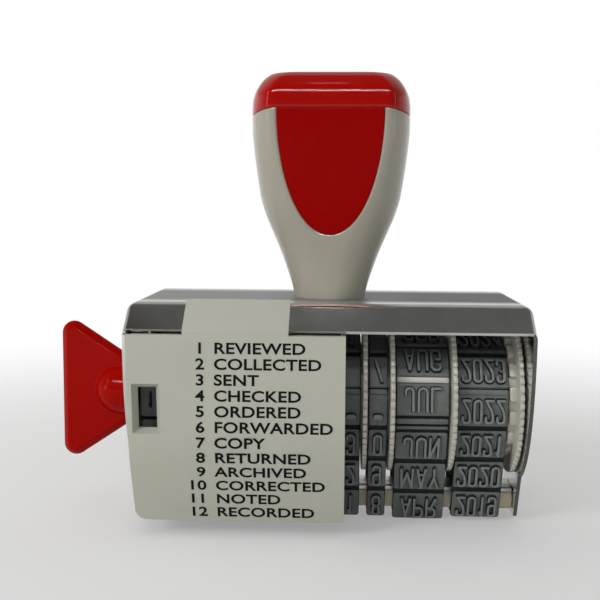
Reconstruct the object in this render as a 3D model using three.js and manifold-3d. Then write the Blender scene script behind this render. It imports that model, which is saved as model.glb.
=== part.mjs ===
// Phrase date stamp: a chromed frame that carries one phrase dial, four date dials and a handle.
// Lengths are in millimetres. X runs along the axle, Y from front to back, Z up from the paper.

import * as THREE from 'three';
import { mergeVertices } from 'three/addons/utils/BufferGeometryUtils.js';
import Module from 'manifold-3d';

const wasm = await Module();
wasm.setup();

// Folded sheet frame
const frameWidth = 64;
const sheet = 0.6;
const roofHalfDepth = 12.7;
const lipHalfDepth = 17;
const roofFall = 4.2;
const roofClearance = 2.75;
const roofBendRadius = 2.4;
const endBendRadius = 1.8;
const cheekWaistHeight = 13.5;
const cheekFootHalfDepth = 7.4;
const cheekFootHeight = 8.6;
const cheekToeHalfDepth = 4.2;
const cheekToeHeight = 1;
const cheekWaistShare = 0.976;

// Clearances and seats
const runningGap = 0.15;
const fixedGap = 0.1;
const seatGap = 0.2;
const dialSideGap = 0.25;
const bandToRimGap = 0.29;
const drumToBandGap = 0.25;
const coverToCheekGap = 0.3;
const plaqueGap = 0.15;
const cutOverrun = 5;
const mergeDistance = 1e-5;

// Axle
const axleHeight = 21.05;
const axleRadius = 1.5;
const axleHeadRadius = 2.7;
const axleHeadHeight = 1.1;
const axleWasherRadius = 3.4;
const axleWasherThickness = 0.5;

// Date dials: a rim to push with the thumb and a ribbed drum that drives a band
const rimRadius = 13.2;
const rimThickness = 0.76;
const rimToothDepth = 0.5;
const rimToothCount = 62;
const rimToothShare = 0.68;
const drumRadius = 9.2;
const drumRibDepth = 0.8;
const drumRibCount = 16;
const drumRibShare = 0.62;
const yearShoulderWidth = 1.24;

// Rubber bands with raised type blocks
const dayBandWidth = 3.1;
const monthBandWidth = 8.6;
const yearBandWidth = 8.2;
const phraseEndGap = 0.65;
const carrierThickness = 0.45;
const blockHeight = 1.1;
const blockGap = 0.7;
const blockCount = 13;

// Print shoe that the bands pass under, with the strip that ties the cheeks together
const shoeHalfDepth = 3.1;
const shoeCornerRadius = 0.8;
const shoeHeight = 3.1;
const shoeEndGap = 0.15;
const shoePegRadius = 0.8;
const shoePegSpacing = 3;
const shoePegProud = 0.3;
const stripThickness = 0.6;
const stripTabWidth = 2.6;
const stripTabProud = 0.4;

// Phrase knob on the left cheek
const knobTipReach = 14.15;
const wingHalfHeight = 11.85;
const wingRootHalfHeight = 3.6;
const wingCornerRadius = 2.1;
const wingThickness = 3;
const wingEdgeRound = 1.1;
const hubRadius = 4.45;
const hubReach = 8.4;
const knobShaftRadius = 3.5;
const knobTongueSize = 6;
const knobTongueLength = 7;
const knobBoreDepth = 2;

// Phrase index cover
const coverEdgeInset = 0.7;
const coverOverlap = 0.8;
const coverStandOff = 1.2;
const coverThickness = 1.5;
const coverTopGap = 0.3;
const coverBottom = 2.6;
const coverBendHeight = 18;
const coverBendRadius = 22;
const coverLeanDegrees = 17;
const coverTaper = 0.7;
const coverCornerRadius = 1.8;
const coverSideWall = 0.8;
const coverFlangeDepth = 2.2;
const tabFromEdge = 8.9;
const tabWidth = 16.4;
const tabThickness = 0.65;
const hookWidth = 3;
const hookInset = 1.5;
const hookThickness = 1.1;
const hookRise = 0.9;
const hookDrop = 1.6;
const windowFromEdge = 2.95;
const windowRise = 0.42;
const windowWidth = 2.9;
const windowHeight = 6.4;
const windowBevel = 0.75;

// Handle
const neckRadius = 5.9;
const handleHeight = 31;
const handleHalfWidth = 13.2;
const handleHalfDepth = 8.3;
const handleFlatHalfWidth = 8.9;
const capHeight = 6.4;
const capSpigotDepth = 3;
const capSpigotHalfWidth = 6;
const capSpigotHalfDepth = 3.4;
const plaqueTipShare = 0.345;
const plaqueHalfWidth = 8.65;
const plaqueThickness = 1.2;
const plaqueShoulderShare = 0.545;
const plaqueChinShare = 0.58;
const handlePegRadius = 0.8;
const handlePegSpacing = 8.4;

// Handle screw
const screwRadius = 1.5;
const screwHeadRadius = 3.1;
const screwHeadHeight = 1.9;
const screwReach = 14;
const screwTipGap = 1;
const screwWasherRadius = 3.6;
const screwWasherThickness = 0.5;

// Finenesses of round shapes
const roundSteps = 28;
const arcSteps = 6;
const bendSteps = 4;
const handleQuarterSteps = 9;
const loopSteps = 56;
const blockSteps = 4;

// Handle levels: height, growth in width from the neck, growth in depth, and flat front
const handleLevelShares = [
  [0, 0, 0, 0],
  [0.07, 0.074, 0.01, 0.02],
  [0.15, 0.182, 0.03, 0.06],
  [0.25, 0.335, 0.12, 0.17],
  [0.35, 0.515, 0.25, 0.33],
  [0.44, 0.676, 0.42, 0.5],
  [0.53, 0.793, 0.58, 0.66],
  [0.63, 0.865, 0.72, 0.79],
  [0.75, 0.936, 0.86, 0.9],
  [0.88, 0.985, 0.96, 0.98],
  [1, 1, 1, 1],
];
// Cap levels: height, half-width, half-depth and flat front, each as a share of its size
const capLevelShares = [
  [0, 1, 1, 1],
  [0.28, 0.995, 0.995, 1],
  [0.42, 0.98, 0.97, 1],
  [0.58, 0.95, 0.9, 1],
  [0.74, 0.9, 0.79, 0.98],
  [0.87, 0.83, 0.65, 0.94],
  [0.96, 0.75, 0.47, 0.88],
  [1, 0.66, 0.28, 0.8],
];

// Places that follow from the sizes
const frameRight = frameWidth / 2;
const frameLeft = -frameRight;
const cheekInner = frameRight - sheet;
const roofUnder = axleHeight + rimRadius + roofClearance;
const roofTop = roofUnder + sheet;
const lipHeight = roofTop - roofFall;
const bandThickness = carrierThickness + blockHeight;
const shoeBottom = bandThickness + runningGap;
const shoeTop = shoeBottom + shoeHeight;
const stripTop = shoeTop + stripThickness;
const shoePegHeight = (shoeBottom + shoeTop) / 2;
const coverFront = -(lipHalfDepth + coverStandOff);
const coverLeft = frameLeft + coverEdgeInset;
const tabLeft = coverLeft + tabFromEdge;
const tabRight = tabLeft + tabWidth;
const coverTop = lipHeight - sheet * Math.SQRT1_2 - coverTopGap;
const knobFace = frameLeft - dialSideGap;
const handleSeamHeight = roofTop + handleHeight;
const plaqueTipHeight = roofTop + handleHeight * plaqueTipShare;
const screwBoreTop = roofTop + screwReach + screwTipGap;

const colours = {
  chrome: { color: 0xb8babb, roughness: 0.12, metalness: 1 },
  steel: { color: 0x9a9c9e, roughness: 0.35, metalness: 1 },
  red: { color: 0xa81208, roughness: 0.3, metalness: 0 },
  ivory: { color: 0xcfcdc4, roughness: 0.4, metalness: 0 },
  wheel: { color: 0xdcdad0, roughness: 0.5, metalness: 0 },
  cover: { color: 0xc9cbc0, roughness: 0.6, metalness: 0 },
  rubber: { color: 0x6a7478, roughness: 0.75, metalness: 0 },
  shoe: { color: 0xcbbd9a, roughness: 0.6, metalness: 0 },
};

const stamp = new THREE.Group();

// Solids and placing

function solidOf(geometry) {
  const bare = geometry.index ? geometry.toNonIndexed() : geometry.clone();
  bare.deleteAttribute('normal');
  bare.deleteAttribute('uv');
  const merged = mergeVertices(bare, mergeDistance);
  const corners = merged.index.array;
  const kept = [];
  for (let index = 0; index < corners.length; index += 3) {
    const [a, b, c] = corners.slice(index, index + 3);
    if (a !== b && b !== c && c !== a) {
      kept.push(a, b, c);
    }
  }
  return new wasm.Manifold(new wasm.Mesh({
    numProp: 3,
    vertProperties: new Float32Array(merged.attributes.position.array),
    triVerts: new Uint32Array(kept),
  }));
}

function geometryOf(solid) {
  const mesh = solid.getMesh();
  const geometry = new THREE.BufferGeometry();
  geometry.setAttribute('position', new THREE.BufferAttribute(mesh.vertProperties, 3));
  geometry.setIndex(new THREE.BufferAttribute(mesh.triVerts, 1));
  geometry.computeVertexNormals();
  return geometry;
}

function addPart(name, solid, finish) {
  const mesh = new THREE.Mesh(geometryOf(solid), new THREE.MeshStandardMaterial(colours[finish]));
  mesh.name = name;
  stamp.add(mesh);
}

// An outline drawn as (y, z) and drawn out along X
function prismAlongX(outline, low, high, curveSegments = arcSteps) {
  const geometry = new THREE.ExtrudeGeometry(outline, {
    depth: high - low,
    bevelEnabled: false,
    curveSegments,
  });
  const turn = new THREE.Matrix4().makeBasis(
    new THREE.Vector3(0, 1, 0),
    new THREE.Vector3(0, 0, 1),
    new THREE.Vector3(1, 0, 0),
  );
  geometry.applyMatrix4(turn);
  geometry.translate(low, 0, 0);
  return solidOf(geometry);
}

// An outline drawn as (x, z) and drawn out along Y
function prismAlongY(outline, low, high, curveSegments = arcSteps) {
  const geometry = new THREE.ExtrudeGeometry(outline, {
    depth: high - low,
    bevelEnabled: false,
    curveSegments,
  });
  geometry.rotateX(Math.PI / 2);
  geometry.translate(0, high, 0);
  return solidOf(geometry);
}

function boxBetween(low, high) {
  const size = new THREE.Vector3(high[0] - low[0], high[1] - low[1], high[2] - low[2]);
  const geometry = new THREE.BoxGeometry(size.x, size.y, size.z);
  geometry.translate((low[0] + high[0]) / 2, (low[1] + high[1]) / 2, (low[2] + high[2]) / 2);
  return solidOf(geometry);
}

// A round bar along X at a given y and z
function barAlongX(radius, low, high, y = 0, z = axleHeight) {
  const geometry = new THREE.CylinderGeometry(radius, radius, high - low, roundSteps);
  geometry.rotateZ(-Math.PI / 2);
  geometry.translate((low + high) / 2, y, z);
  return solidOf(geometry);
}

// A turned piece: (radius, travel) points from the axis and back to it
function turnedAlongX(points) {
  const geometry = new THREE.LatheGeometry(points.map(([r, t]) => new THREE.Vector2(r, t)), roundSteps);
  geometry.rotateZ(-Math.PI / 2);
  geometry.translate(0, 0, axleHeight);
  return solidOf(geometry);
}

// Points of a domed end, from its rim to its crown
function domePoints(radius, base, height) {
  const points = [];
  for (let step = 0; step <= arcSteps; step += 1) {
    const angle = (Math.PI / 2) * (step / arcSteps);
    points.push([step < arcSteps ? radius * Math.cos(angle) : 0, base + height * Math.sin(angle)]);
  }
  return points;
}

function barUpright(radius, low, high, x = 0, y = 0) {
  const geometry = new THREE.CylinderGeometry(radius, radius, high - low, roundSteps);
  geometry.rotateX(Math.PI / 2);
  geometry.translate(x, y, (low + high) / 2);
  return solidOf(geometry);
}

function polygon(points) {
  return new THREE.Shape(points.map(([u, v]) => new THREE.Vector2(u, v)));
}

function mirrored(points) {
  return points.map(([u, v]) => [-u, v]).reverse();
}

// A closed solid through rings of equal point counts, from the lowest ring to the highest
function loft(rings) {
  const count = rings[0].length;
  const positions = [];
  const corner = (ring, index) => rings[ring][(index + count) % count];
  const centre = (ring) => {
    const sum = new THREE.Vector3();
    rings[ring].forEach((point) => sum.add(point));
    return sum.divideScalar(count);
  };
  const face = (a, b, c) => positions.push(...a.toArray(), ...b.toArray(), ...c.toArray());
  const last = rings.length - 1;
  for (let index = 0; index < count; index += 1) {
    face(centre(0), corner(0, index + 1), corner(0, index));
    face(centre(last), corner(last, index), corner(last, index + 1));
    for (let ring = 0; ring < last; ring += 1) {
      face(corner(ring, index), corner(ring, index + 1), corner(ring + 1, index));
      face(corner(ring, index + 1), corner(ring + 1, index + 1), corner(ring + 1, index));
    }
  }
  const geometry = new THREE.BufferGeometry();
  geometry.setAttribute('position', new THREE.Float32BufferAttribute(positions, 3));
  return solidOf(geometry);
}

// Round outline with raised teeth or ribs, about the origin
function toothedOutline(count, tipRadius, rootRadius, toothShare) {
  const points = [];
  const pitch = (Math.PI * 2) / count;
  const halfTooth = (pitch * toothShare) / 2;
  const halfRoot = (pitch * (1 - toothShare)) / 2;
  for (let tooth = 0; tooth < count; tooth += 1) {
    const middle = tooth * pitch;
    const rootMiddle = middle + pitch / 2;
    const stops = [
      [middle - halfTooth, tipRadius],
      [middle + halfTooth, tipRadius],
      [rootMiddle - halfRoot, rootRadius],
      [rootMiddle + halfRoot, rootRadius],
    ];
    stops.forEach(([angle, radius]) => {
      points.push([radius * Math.cos(angle), radius * Math.sin(angle) + axleHeight]);
    });
  }
  return polygon(points);
}

// Frame

function cheekOutlinePoints(growth) {
  const curve = new THREE.QuadraticBezierCurve(
    new THREE.Vector2(lipHalfDepth + growth, lipHeight),
    new THREE.Vector2(lipHalfDepth * cheekWaistShare + growth, cheekWaistHeight),
    new THREE.Vector2(cheekFootHalfDepth + growth, cheekFootHeight - growth),
  );
  const side = curve.getPoints(arcSteps * 2).map((point) => [point.x, point.y]);
  side.push([cheekToeHalfDepth + growth, cheekToeHeight - growth]);
  return side;
}

// Right half of the roof section, from the crown line down to the lip, set in by a depth
function roofPoints(inset) {
  const slope = new THREE.Vector2(lipHalfDepth - roofHalfDepth, lipHeight - roofTop).normalize();
  const inward = new THREE.Vector2(slope.y, -slope.x);
  const turn = Math.atan2(-slope.y, slope.x);
  const setback = roofBendRadius * Math.tan(turn / 2);
  const centre = new THREE.Vector2(roofHalfDepth - setback, roofTop - roofBendRadius);
  const radius = roofBendRadius - inset;
  const points = [];
  for (let step = 0; step <= bendSteps; step += 1) {
    const angle = Math.PI / 2 - (turn * step) / bendSteps;
    points.push([centre.x + radius * Math.cos(angle), centre.y + radius * Math.sin(angle)]);
  }
  points.push([lipHalfDepth + inward.x * inset, lipHeight + inward.y * inset]);
  return points;
}

function endRoundedOutline(inset) {
  const half = frameRight - inset;
  const top = roofTop - inset;
  const radius = endBendRadius - inset;
  const outline = new THREE.Shape();
  outline.moveTo(-half, -cutOverrun);
  outline.lineTo(half, -cutOverrun);
  outline.lineTo(half, top - radius);
  outline.absarc(half - radius, top - radius, radius, 0, Math.PI / 2, false);
  outline.absarc(radius - half, top - radius, radius, Math.PI / 2, Math.PI, false);
  return outline;
}

function frameSolid() {
  const depth = lipHalfDepth + cutOverrun;
  const outerHalf = [...roofPoints(0), ...cheekOutlinePoints(0).slice(1)];
  const outerOutline = polygon([...mirrored(outerHalf), ...outerHalf].reverse());
  const outer = prismAlongX(outerOutline, frameLeft, frameRight)
    .intersect(prismAlongY(endRoundedOutline(0), -depth, depth, bendSteps));

  const roof = roofPoints(0);
  const under = roofPoints(sheet);
  const lip = roof[roof.length - 1];
  const lipUnder = under[under.length - 1];
  const reach = cutOverrun / sheet;
  const clearOfLip = [
    lip[0] + (lip[0] - lipUnder[0]) * reach,
    lip[1] + (lip[1] - lipUnder[1]) * reach,
  ];
  const innerHalf = [...under, clearOfLip, [clearOfLip[0], -cutOverrun]];
  const innerOutline = polygon([...mirrored(innerHalf), ...innerHalf].reverse());
  const inner = prismAlongX(innerOutline, -cheekInner, cheekInner)
    .intersect(prismAlongY(endRoundedOutline(sheet), -depth - cutOverrun, depth + cutOverrun, bendSteps));

  let frame = outer.subtract(inner);
  const leftOut = frameLeft - cutOverrun;
  const rightOut = frameRight + cutOverrun;
  frame = frame.subtract(barAlongX(knobShaftRadius + runningGap, leftOut, 0));
  frame = frame.subtract(barAlongX(axleRadius + fixedGap, 0, rightOut));
  for (const side of [-1, 1]) {
    const y = (side * shoePegSpacing) / 2;
    frame = frame.subtract(barAlongX(shoePegRadius + fixedGap, leftOut, rightOut, y, shoePegHeight));
    const x = (side * handlePegSpacing) / 2;
    frame = frame.subtract(barUpright(handlePegRadius + fixedGap, axleHeight, roofTop + cutOverrun, x));
  }
  const slotHalf = stripTabWidth / 2 + fixedGap;
  frame = frame.subtract(boxBetween(
    [leftOut, -slotHalf, shoeTop - fixedGap],
    [rightOut, slotHalf, stripTop + fixedGap],
  ));
  return frame.subtract(barUpright(screwRadius + fixedGap, axleHeight, roofTop + cutOverrun));
}

// Places of the dials along the axle, from the right cheek to the left

function dialPlaces() {
  const widths = [
    ['year', yearBandWidth, yearShoulderWidth],
    ['month', monthBandWidth, bandToRimGap],
    ['day_units', dayBandWidth, bandToRimGap],
    ['day_tens', dayBandWidth, bandToRimGap],
  ];
  let right = cheekInner - dialSideGap;
  return widths.map(([name, width, shoulder]) => {
    const rimLeft = right - rimThickness;
    const bandRight = rimLeft - shoulder;
    const bandLeft = bandRight - width;
    const place = { name, rimRight: right, rimLeft, bandRight, bandLeft };
    right = bandLeft - dialSideGap;
    return place;
  });
}

const dials = dialPlaces();
const phraseRight = dials[dials.length - 1].bandLeft - dialSideGap;
const phraseLeft = phraseEndGap - cheekInner;
const coverRight = phraseRight + coverOverlap;

// Half of a band's path, from the middle of its underside to the top of its drum
function bandPath() {
  const drum = { y: 0, z: axleHeight, radius: drumRadius + drumToBandGap + carrierThickness };
  const corner = {
    y: shoeHalfDepth - shoeCornerRadius,
    z: shoeBottom + shoeCornerRadius,
    radius: shoeCornerRadius + runningGap + carrierThickness,
  };
  const across = { y: drum.y - corner.y, z: drum.z - corner.z };
  const centreDistance = Math.hypot(across.y, across.z);
  const lean = Math.atan2(-across.y, across.z);
  const tilt = lean - Math.asin((drum.radius - corner.radius) / centreDistance);
  const flat = corner.y;
  const cornerArc = (Math.PI / 2 + tilt) * corner.radius;
  const line = Math.sqrt(centreDistance ** 2 - (drum.radius - corner.radius) ** 2);
  const drumArc = (Math.PI / 2 - tilt) * drum.radius;
  return { drum, corner, tilt, flat, cornerArc, line, drumArc, half: flat + cornerArc + line + drumArc };
}

const path = bandPath();

// A point of the band's loop: travel along the carrier's outer face, and height above that face
function bandPoint(travel, height) {
  const whole = path.half * 2;
  const wrapped = ((travel % whole) + whole) % whole;
  const side = wrapped <= path.half ? 1 : -1;
  let left = side > 0 ? wrapped : whole - wrapped;
  const around = (centre, angle) => [
    side * (centre.y + (centre.radius + height) * Math.cos(angle)),
    centre.z + (centre.radius + height) * Math.sin(angle),
  ];
  if (left <= path.flat) {
    return [side * left, path.corner.z - path.corner.radius - height];
  }
  left -= path.flat;
  if (left <= path.cornerArc) {
    return around(path.corner, left / path.corner.radius - Math.PI / 2);
  }
  left -= path.cornerArc;
  if (left <= path.line) {
    const [y, z] = around(path.corner, path.tilt);
    return [y - side * Math.sin(path.tilt) * left, z + Math.cos(path.tilt) * left];
  }
  left -= path.line;
  return around(path.drum, path.tilt + left / path.drum.radius);
}

function bandSolid(low, high) {
  const pitch = (path.half * 2) / blockCount;
  const blockLength = pitch - blockGap;
  const points = [];
  for (let block = 0; block < blockCount; block += 1) {
    const start = block * pitch - blockLength / 2;
    points.push(bandPoint(start, 0));
    for (let step = 0; step <= blockSteps; step += 1) {
      points.push(bandPoint(start + (blockLength * step) / blockSteps, blockHeight));
    }
    points.push(bandPoint(start + blockLength, 0));
  }
  const outline = polygon(points);
  const hole = [];
  for (let step = 0; step < loopSteps; step += 1) {
    hole.push(bandPoint((path.half * 2 * step) / loopSteps, -carrierThickness));
  }
  for (const stop of [path.flat, path.flat + path.cornerArc / 2, path.flat + path.cornerArc]) {
    hole.push(bandPoint(stop, -carrierThickness));
    hole.push(bandPoint(-stop, -carrierThickness));
  }
  hole.sort((a, b) => Math.atan2(a[1] - shoeTop, a[0]) - Math.atan2(b[1] - shoeTop, b[0]));
  return prismAlongX(outline, low, high)
    .subtract(prismAlongX(polygon(hole), low - cutOverrun, high + cutOverrun));
}

function dialSolid(place) {
  const rim = toothedOutline(rimToothCount, rimRadius, rimRadius - rimToothDepth, rimToothShare);
  const ribs = toothedOutline(drumRibCount, drumRadius, drumRadius - drumRibDepth, drumRibShare);
  return prismAlongX(rim, place.rimLeft, place.rimRight)
    .add(prismAlongX(ribs, place.bandLeft, place.rimLeft))
    .subtract(barAlongX(axleRadius + runningGap, place.bandLeft - cutOverrun, place.rimRight + cutOverrun));
}

// Phrase drum and its knob

function tongue(growth, low, high) {
  const half = knobTongueSize / 2 + growth;
  return boxBetween([low, -half, axleHeight - half], [high, half, axleHeight + half]);
}

function phraseDrumSolid() {
  const ribs = toothedOutline(drumRibCount, drumRadius, drumRadius - drumRibDepth, drumRibShare);
  const socketEnd = phraseLeft + knobTongueLength + seatGap;
  return prismAlongX(ribs, phraseLeft, phraseRight)
    .subtract(barAlongX(axleRadius + runningGap, phraseLeft - cutOverrun, phraseRight + cutOverrun))
    .subtract(tongue(seatGap, phraseLeft - cutOverrun, socketEnd));
}

function wingOutline() {
  const tip = knobFace - knobTipReach;
  const top = wingHalfHeight - wingEdgeRound;
  const root = wingRootHalfHeight - wingEdgeRound;
  const radius = wingCornerRadius - wingEdgeRound;
  const left = tip + wingEdgeRound;
  const fall = Math.atan2(top - root, knobFace - left - radius);
  const outline = new THREE.Shape();
  outline.moveTo(knobFace, -root);
  outline.lineTo(knobFace, root);
  outline.absarc(left + radius, top - radius, radius, Math.PI / 2 - fall, Math.PI, false);
  outline.absarc(left + radius, radius - top, radius, Math.PI, Math.PI * 1.5 + fall, false);
  return outline;
}

function phraseKnobSolid() {
  const wing = new THREE.ExtrudeGeometry(wingOutline(), {
    depth: wingThickness - wingEdgeRound * 2,
    bevelThickness: wingEdgeRound,
    bevelSize: wingEdgeRound,
    bevelSegments: bendSteps,
    curveSegments: arcSteps,
  });
  wing.rotateX(Math.PI / 2);
  wing.translate(0, wingThickness / 2 - wingEdgeRound, axleHeight);
  const domeCentre = knobFace - hubReach + hubRadius;
  const dome = new THREE.SphereGeometry(hubRadius, roundSteps, roundSteps / 2);
  dome.rotateZ(Math.PI / 2);
  dome.translate(domeCentre, 0, axleHeight);
  const outside = boxBetween(
    [knobFace - knobTipReach - cutOverrun, -frameRight, -frameRight],
    [knobFace, frameRight, frameWidth],
  );
  const tongueStart = phraseLeft - seatGap;
  return solidOf(wing)
    .add(solidOf(dome))
    .add(barAlongX(hubRadius, domeCentre, knobFace))
    .intersect(outside)
    .add(barAlongX(knobShaftRadius, knobFace, tongueStart))
    .add(tongue(0, tongueStart, phraseLeft + knobTongueLength))
    .subtract(barAlongX(axleRadius + runningGap, knobFace - knobBoreDepth, phraseRight));
}

function axleSolid() {
  const start = knobFace - knobBoreDepth + seatGap;
  const headFace = frameRight + axleWasherThickness;
  return turnedAlongX([
    [0, start],
    [axleRadius, start],
    [axleRadius, headFace],
    ...domePoints(axleHeadRadius, headFace, axleHeadHeight),
  ]);
}

// Print shoe and its strip

function shoeSolid() {
  const radius = shoeCornerRadius;
  const outline = new THREE.Shape();
  outline.moveTo(shoeHalfDepth, shoeTop);
  outline.lineTo(-shoeHalfDepth, shoeTop);
  outline.absarc(radius - shoeHalfDepth, shoeBottom + radius, radius, Math.PI, Math.PI * 1.5, false);
  outline.absarc(shoeHalfDepth - radius, shoeBottom + radius, radius, -Math.PI / 2, 0, false);
  const end = cheekInner - shoeEndGap;
  let shoe = prismAlongX(outline, -end, end);
  const pegEnd = frameRight + shoePegProud;
  for (const side of [-1, 1]) {
    const y = (side * shoePegSpacing) / 2;
    shoe = shoe.add(barAlongX(shoePegRadius, -pegEnd, pegEnd, y, shoePegHeight));
  }
  return shoe;
}

function stripSolid() {
  const end = cheekInner - shoeEndGap;
  const tabEnd = frameRight + stripTabProud;
  const tabHalf = stripTabWidth / 2;
  return boxBetween([-end, -shoeHalfDepth, shoeTop], [end, shoeHalfDepth, stripTop])
    .add(boxBetween([-tabEnd, -tabHalf, shoeTop], [tabEnd, tabHalf, stripTop]));
}

// Phrase index cover

// Points of the cover's front face from the top down, at a depth behind that face
function coverFacePoints(depth) {
  const lean = THREE.MathUtils.degToRad(coverLeanDegrees);
  const centreY = coverFront + coverBendRadius;
  const radius = coverBendRadius - depth;
  const points = [[coverFront + depth, coverTop]];
  for (let step = 0; step <= arcSteps; step += 1) {
    const angle = (lean * step) / arcSteps;
    points.push([centreY - radius * Math.cos(angle), coverBendHeight - radius * Math.sin(angle)]);
  }
  const [lastY, lastZ] = points[points.length - 1];
  const drop = lastZ - coverBottom;
  points.push([lastY + drop * Math.tan(lean), coverBottom]);
  return points;
}

function coverPlate(inset, low, high) {
  const outline = polygon([...coverFacePoints(inset), ...coverFacePoints(coverThickness).reverse()]);
  return prismAlongX(outline, low, high);
}

function coverTab() {
  const slope = new THREE.Vector2(lipHalfDepth - roofHalfDepth, roofTop - lipHeight).normalize();
  const outward = new THREE.Vector2(-slope.y, slope.x);
  const footInner = [-lipHalfDepth + outward.x * seatGap, lipHeight + outward.y * seatGap];
  const topInner = [-roofHalfDepth + outward.x * seatGap, roofTop + outward.y * seatGap];
  const lift = seatGap + tabThickness;
  const topOuter = [-roofHalfDepth + outward.x * lift, roofTop + outward.y * lift];
  const rise = (topOuter[0] - coverFront) * (slope.y / slope.x);
  const outline = polygon([
    [coverFront, coverTop - hookDrop],
    [coverFront, topOuter[1] - rise],
    topOuter,
    topInner,
    footInner,
    [footInner[0], coverTop - hookDrop],
  ]);
  return prismAlongX(outline, tabLeft, tabRight);
}

function coverHook(left) {
  const slopeShare = (roofTop - lipHeight) / (lipHalfDepth - roofHalfDepth);
  const plateBack = coverFront + coverThickness;
  const back = plateBack + coverToCheekGap + hookThickness + hookRise;
  const frontTop = back - hookThickness;
  const outline = polygon([
    [plateBack - seatGap, coverTop - hookDrop],
    [back, coverTop - hookDrop],
    [back, coverTop + hookRise],
    [frontTop, coverTop + hookRise],
    [frontTop - hookRise / slopeShare, coverTop],
    [plateBack - seatGap, coverTop],
  ]);
  return prismAlongX(outline, left, left + hookWidth);
}

function coverSolid() {
  const inside = coverFacePoints(coverThickness - seatGap);
  const wallOutline = polygon([...inside, [0, coverBottom], [0, coverTop]]);
  const flangeOutline = polygon([
    ...inside,
    ...coverFacePoints(coverThickness + coverFlangeDepth).reverse(),
  ]);
  const wallRight = coverLeft + coverSideWall;
  const cheekHalf = cheekOutlinePoints(coverToCheekGap);
  cheekHalf.unshift([lipHalfDepth + coverToCheekGap, roofTop]);
  cheekHalf.push([cheekToeHalfDepth + coverToCheekGap, -cutOverrun]);
  const cheek = polygon([...mirrored(cheekHalf), ...cheekHalf].reverse());

  let cover = coverPlate(0, coverLeft, coverRight)
    .add(prismAlongX(wallOutline, coverLeft, wallRight))
    .add(prismAlongX(flangeOutline, coverRight - coverSideWall, coverRight))
    .subtract(prismAlongX(cheek, frameLeft - cutOverrun, wallRight));
  cover = cover.add(coverTab());
  cover = cover.add(coverHook(tabLeft + hookInset));
  cover = cover.add(coverHook(tabRight - hookInset - hookWidth));

  const depth = lipHalfDepth + cutOverrun;
  const rounded = new THREE.Shape();
  rounded.moveTo(coverLeft, roofTop + cutOverrun);
  rounded.lineTo(coverLeft, coverBottom + coverCornerRadius);
  rounded.absarc(coverLeft + coverCornerRadius, coverBottom + coverCornerRadius, coverCornerRadius,
    Math.PI, Math.PI * 1.5, false);
  rounded.lineTo(coverRight, coverBottom);
  rounded.lineTo(coverRight, roofTop + cutOverrun);
  cover = cover.intersect(prismAlongY(rounded, -depth, 0));
  return taperedTowardsFoot(cover.subtract(windowCut()));
}

// The cover's left edge comes in as it goes down, and its right edge stays upright
function taperedTowardsFoot(cover) {
  const geometry = geometryOf(cover);
  const places = geometry.attributes.position;
  for (let index = 0; index < places.count; index += 1) {
    const x = places.getX(index);
    const fallShare = Math.max(0, (coverTop - places.getZ(index)) / (coverTop - coverBottom));
    const reachShare = (coverRight - x) / (coverRight - coverLeft);
    places.setX(index, x + coverTaper * fallShare * reachShare);
  }
  return solidOf(geometry);
}

// The window narrows from the front face of the cover to its back
function windowCut() {
  const ring = (y, grow) => {
    const halfWidth = windowWidth / 2 + grow;
    const halfHeight = windowHeight / 2 + grow;
    return [[-1, -1], [1, -1], [1, 1], [-1, 1]].map(([sideX, sideZ]) => new THREE.Vector3(
      coverLeft + windowFromEdge + sideX * halfWidth,
      y,
      axleHeight + windowRise + sideZ * halfHeight,
    ));
  };
  const growPerDepth = windowBevel / coverThickness;
  const front = coverFront - seatGap;
  const back = coverFront + coverThickness;
  return loft([
    ring(back + cutOverrun, 0),
    ring(back, 0),
    ring(front, windowBevel + growPerDepth * seatGap),
  ]);
}

// Handle

function handleRing(z, halfWidth, halfDepth, flatHalf) {
  const quarter = [];
  for (let step = 0; step <= handleQuarterSteps; step += 1) {
    const angle = (Math.PI / 2) * (step / handleQuarterSteps);
    quarter.push([
      flatHalf + (halfWidth - flatHalf) * Math.cos(angle),
      halfDepth * Math.sin(angle),
    ]);
  }
  const back = [...quarter].reverse().map(([x, y]) => [-x, y]);
  const half = [...quarter, ...back];
  const front = [...half].reverse().map(([x, y]) => [x, -y]);
  return [...half, ...front].map(([x, y]) => new THREE.Vector3(x, y, z));
}

function handleForm(inset) {
  return loft(handleLevelShares.map(([heightShare, widthShare, depthShare, flatShare]) => handleRing(
    roofTop + handleHeight * heightShare,
    neckRadius + (handleHalfWidth - neckRadius) * widthShare - inset,
    neckRadius + (handleHalfDepth - neckRadius) * depthShare - inset,
    handleFlatHalfWidth * flatShare,
  )));
}

function capForm() {
  return loft(capLevelShares.map(([heightShare, widthShare, depthShare, flatShare]) => handleRing(
    handleSeamHeight + capHeight * heightShare,
    handleHalfWidth * widthShare,
    handleHalfDepth * depthShare,
    handleFlatHalfWidth * flatShare * widthShare,
  )));
}

// The plaques are shield shaped: straight across the top, bowed in to a rounded tip
function plaquePrism(growth, side) {
  const top = handleSeamHeight + growth;
  const tip = plaqueTipHeight - growth;
  const half = plaqueHalfWidth + growth;
  const height = handleSeamHeight - plaqueTipHeight;
  const outline = new THREE.Shape();
  outline.moveTo(half, top);
  outline.bezierCurveTo(half, top - height * plaqueShoulderShare, half * plaqueChinShare, tip, 0, tip);
  outline.bezierCurveTo(-half * plaqueChinShare, tip, -half, top - height * plaqueShoulderShare, -half, top);
  const depth = handleHalfDepth + cutOverrun;
  return side < 0
    ? prismAlongY(outline, -depth, -screwRadius, arcSteps * 2)
    : prismAlongY(outline, screwRadius, depth, arcSteps * 2);
}

function plaqueSolid(side) {
  return handleForm(0)
    .intersect(plaquePrism(0, side))
    .subtract(handleForm(plaqueThickness));
}

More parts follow.
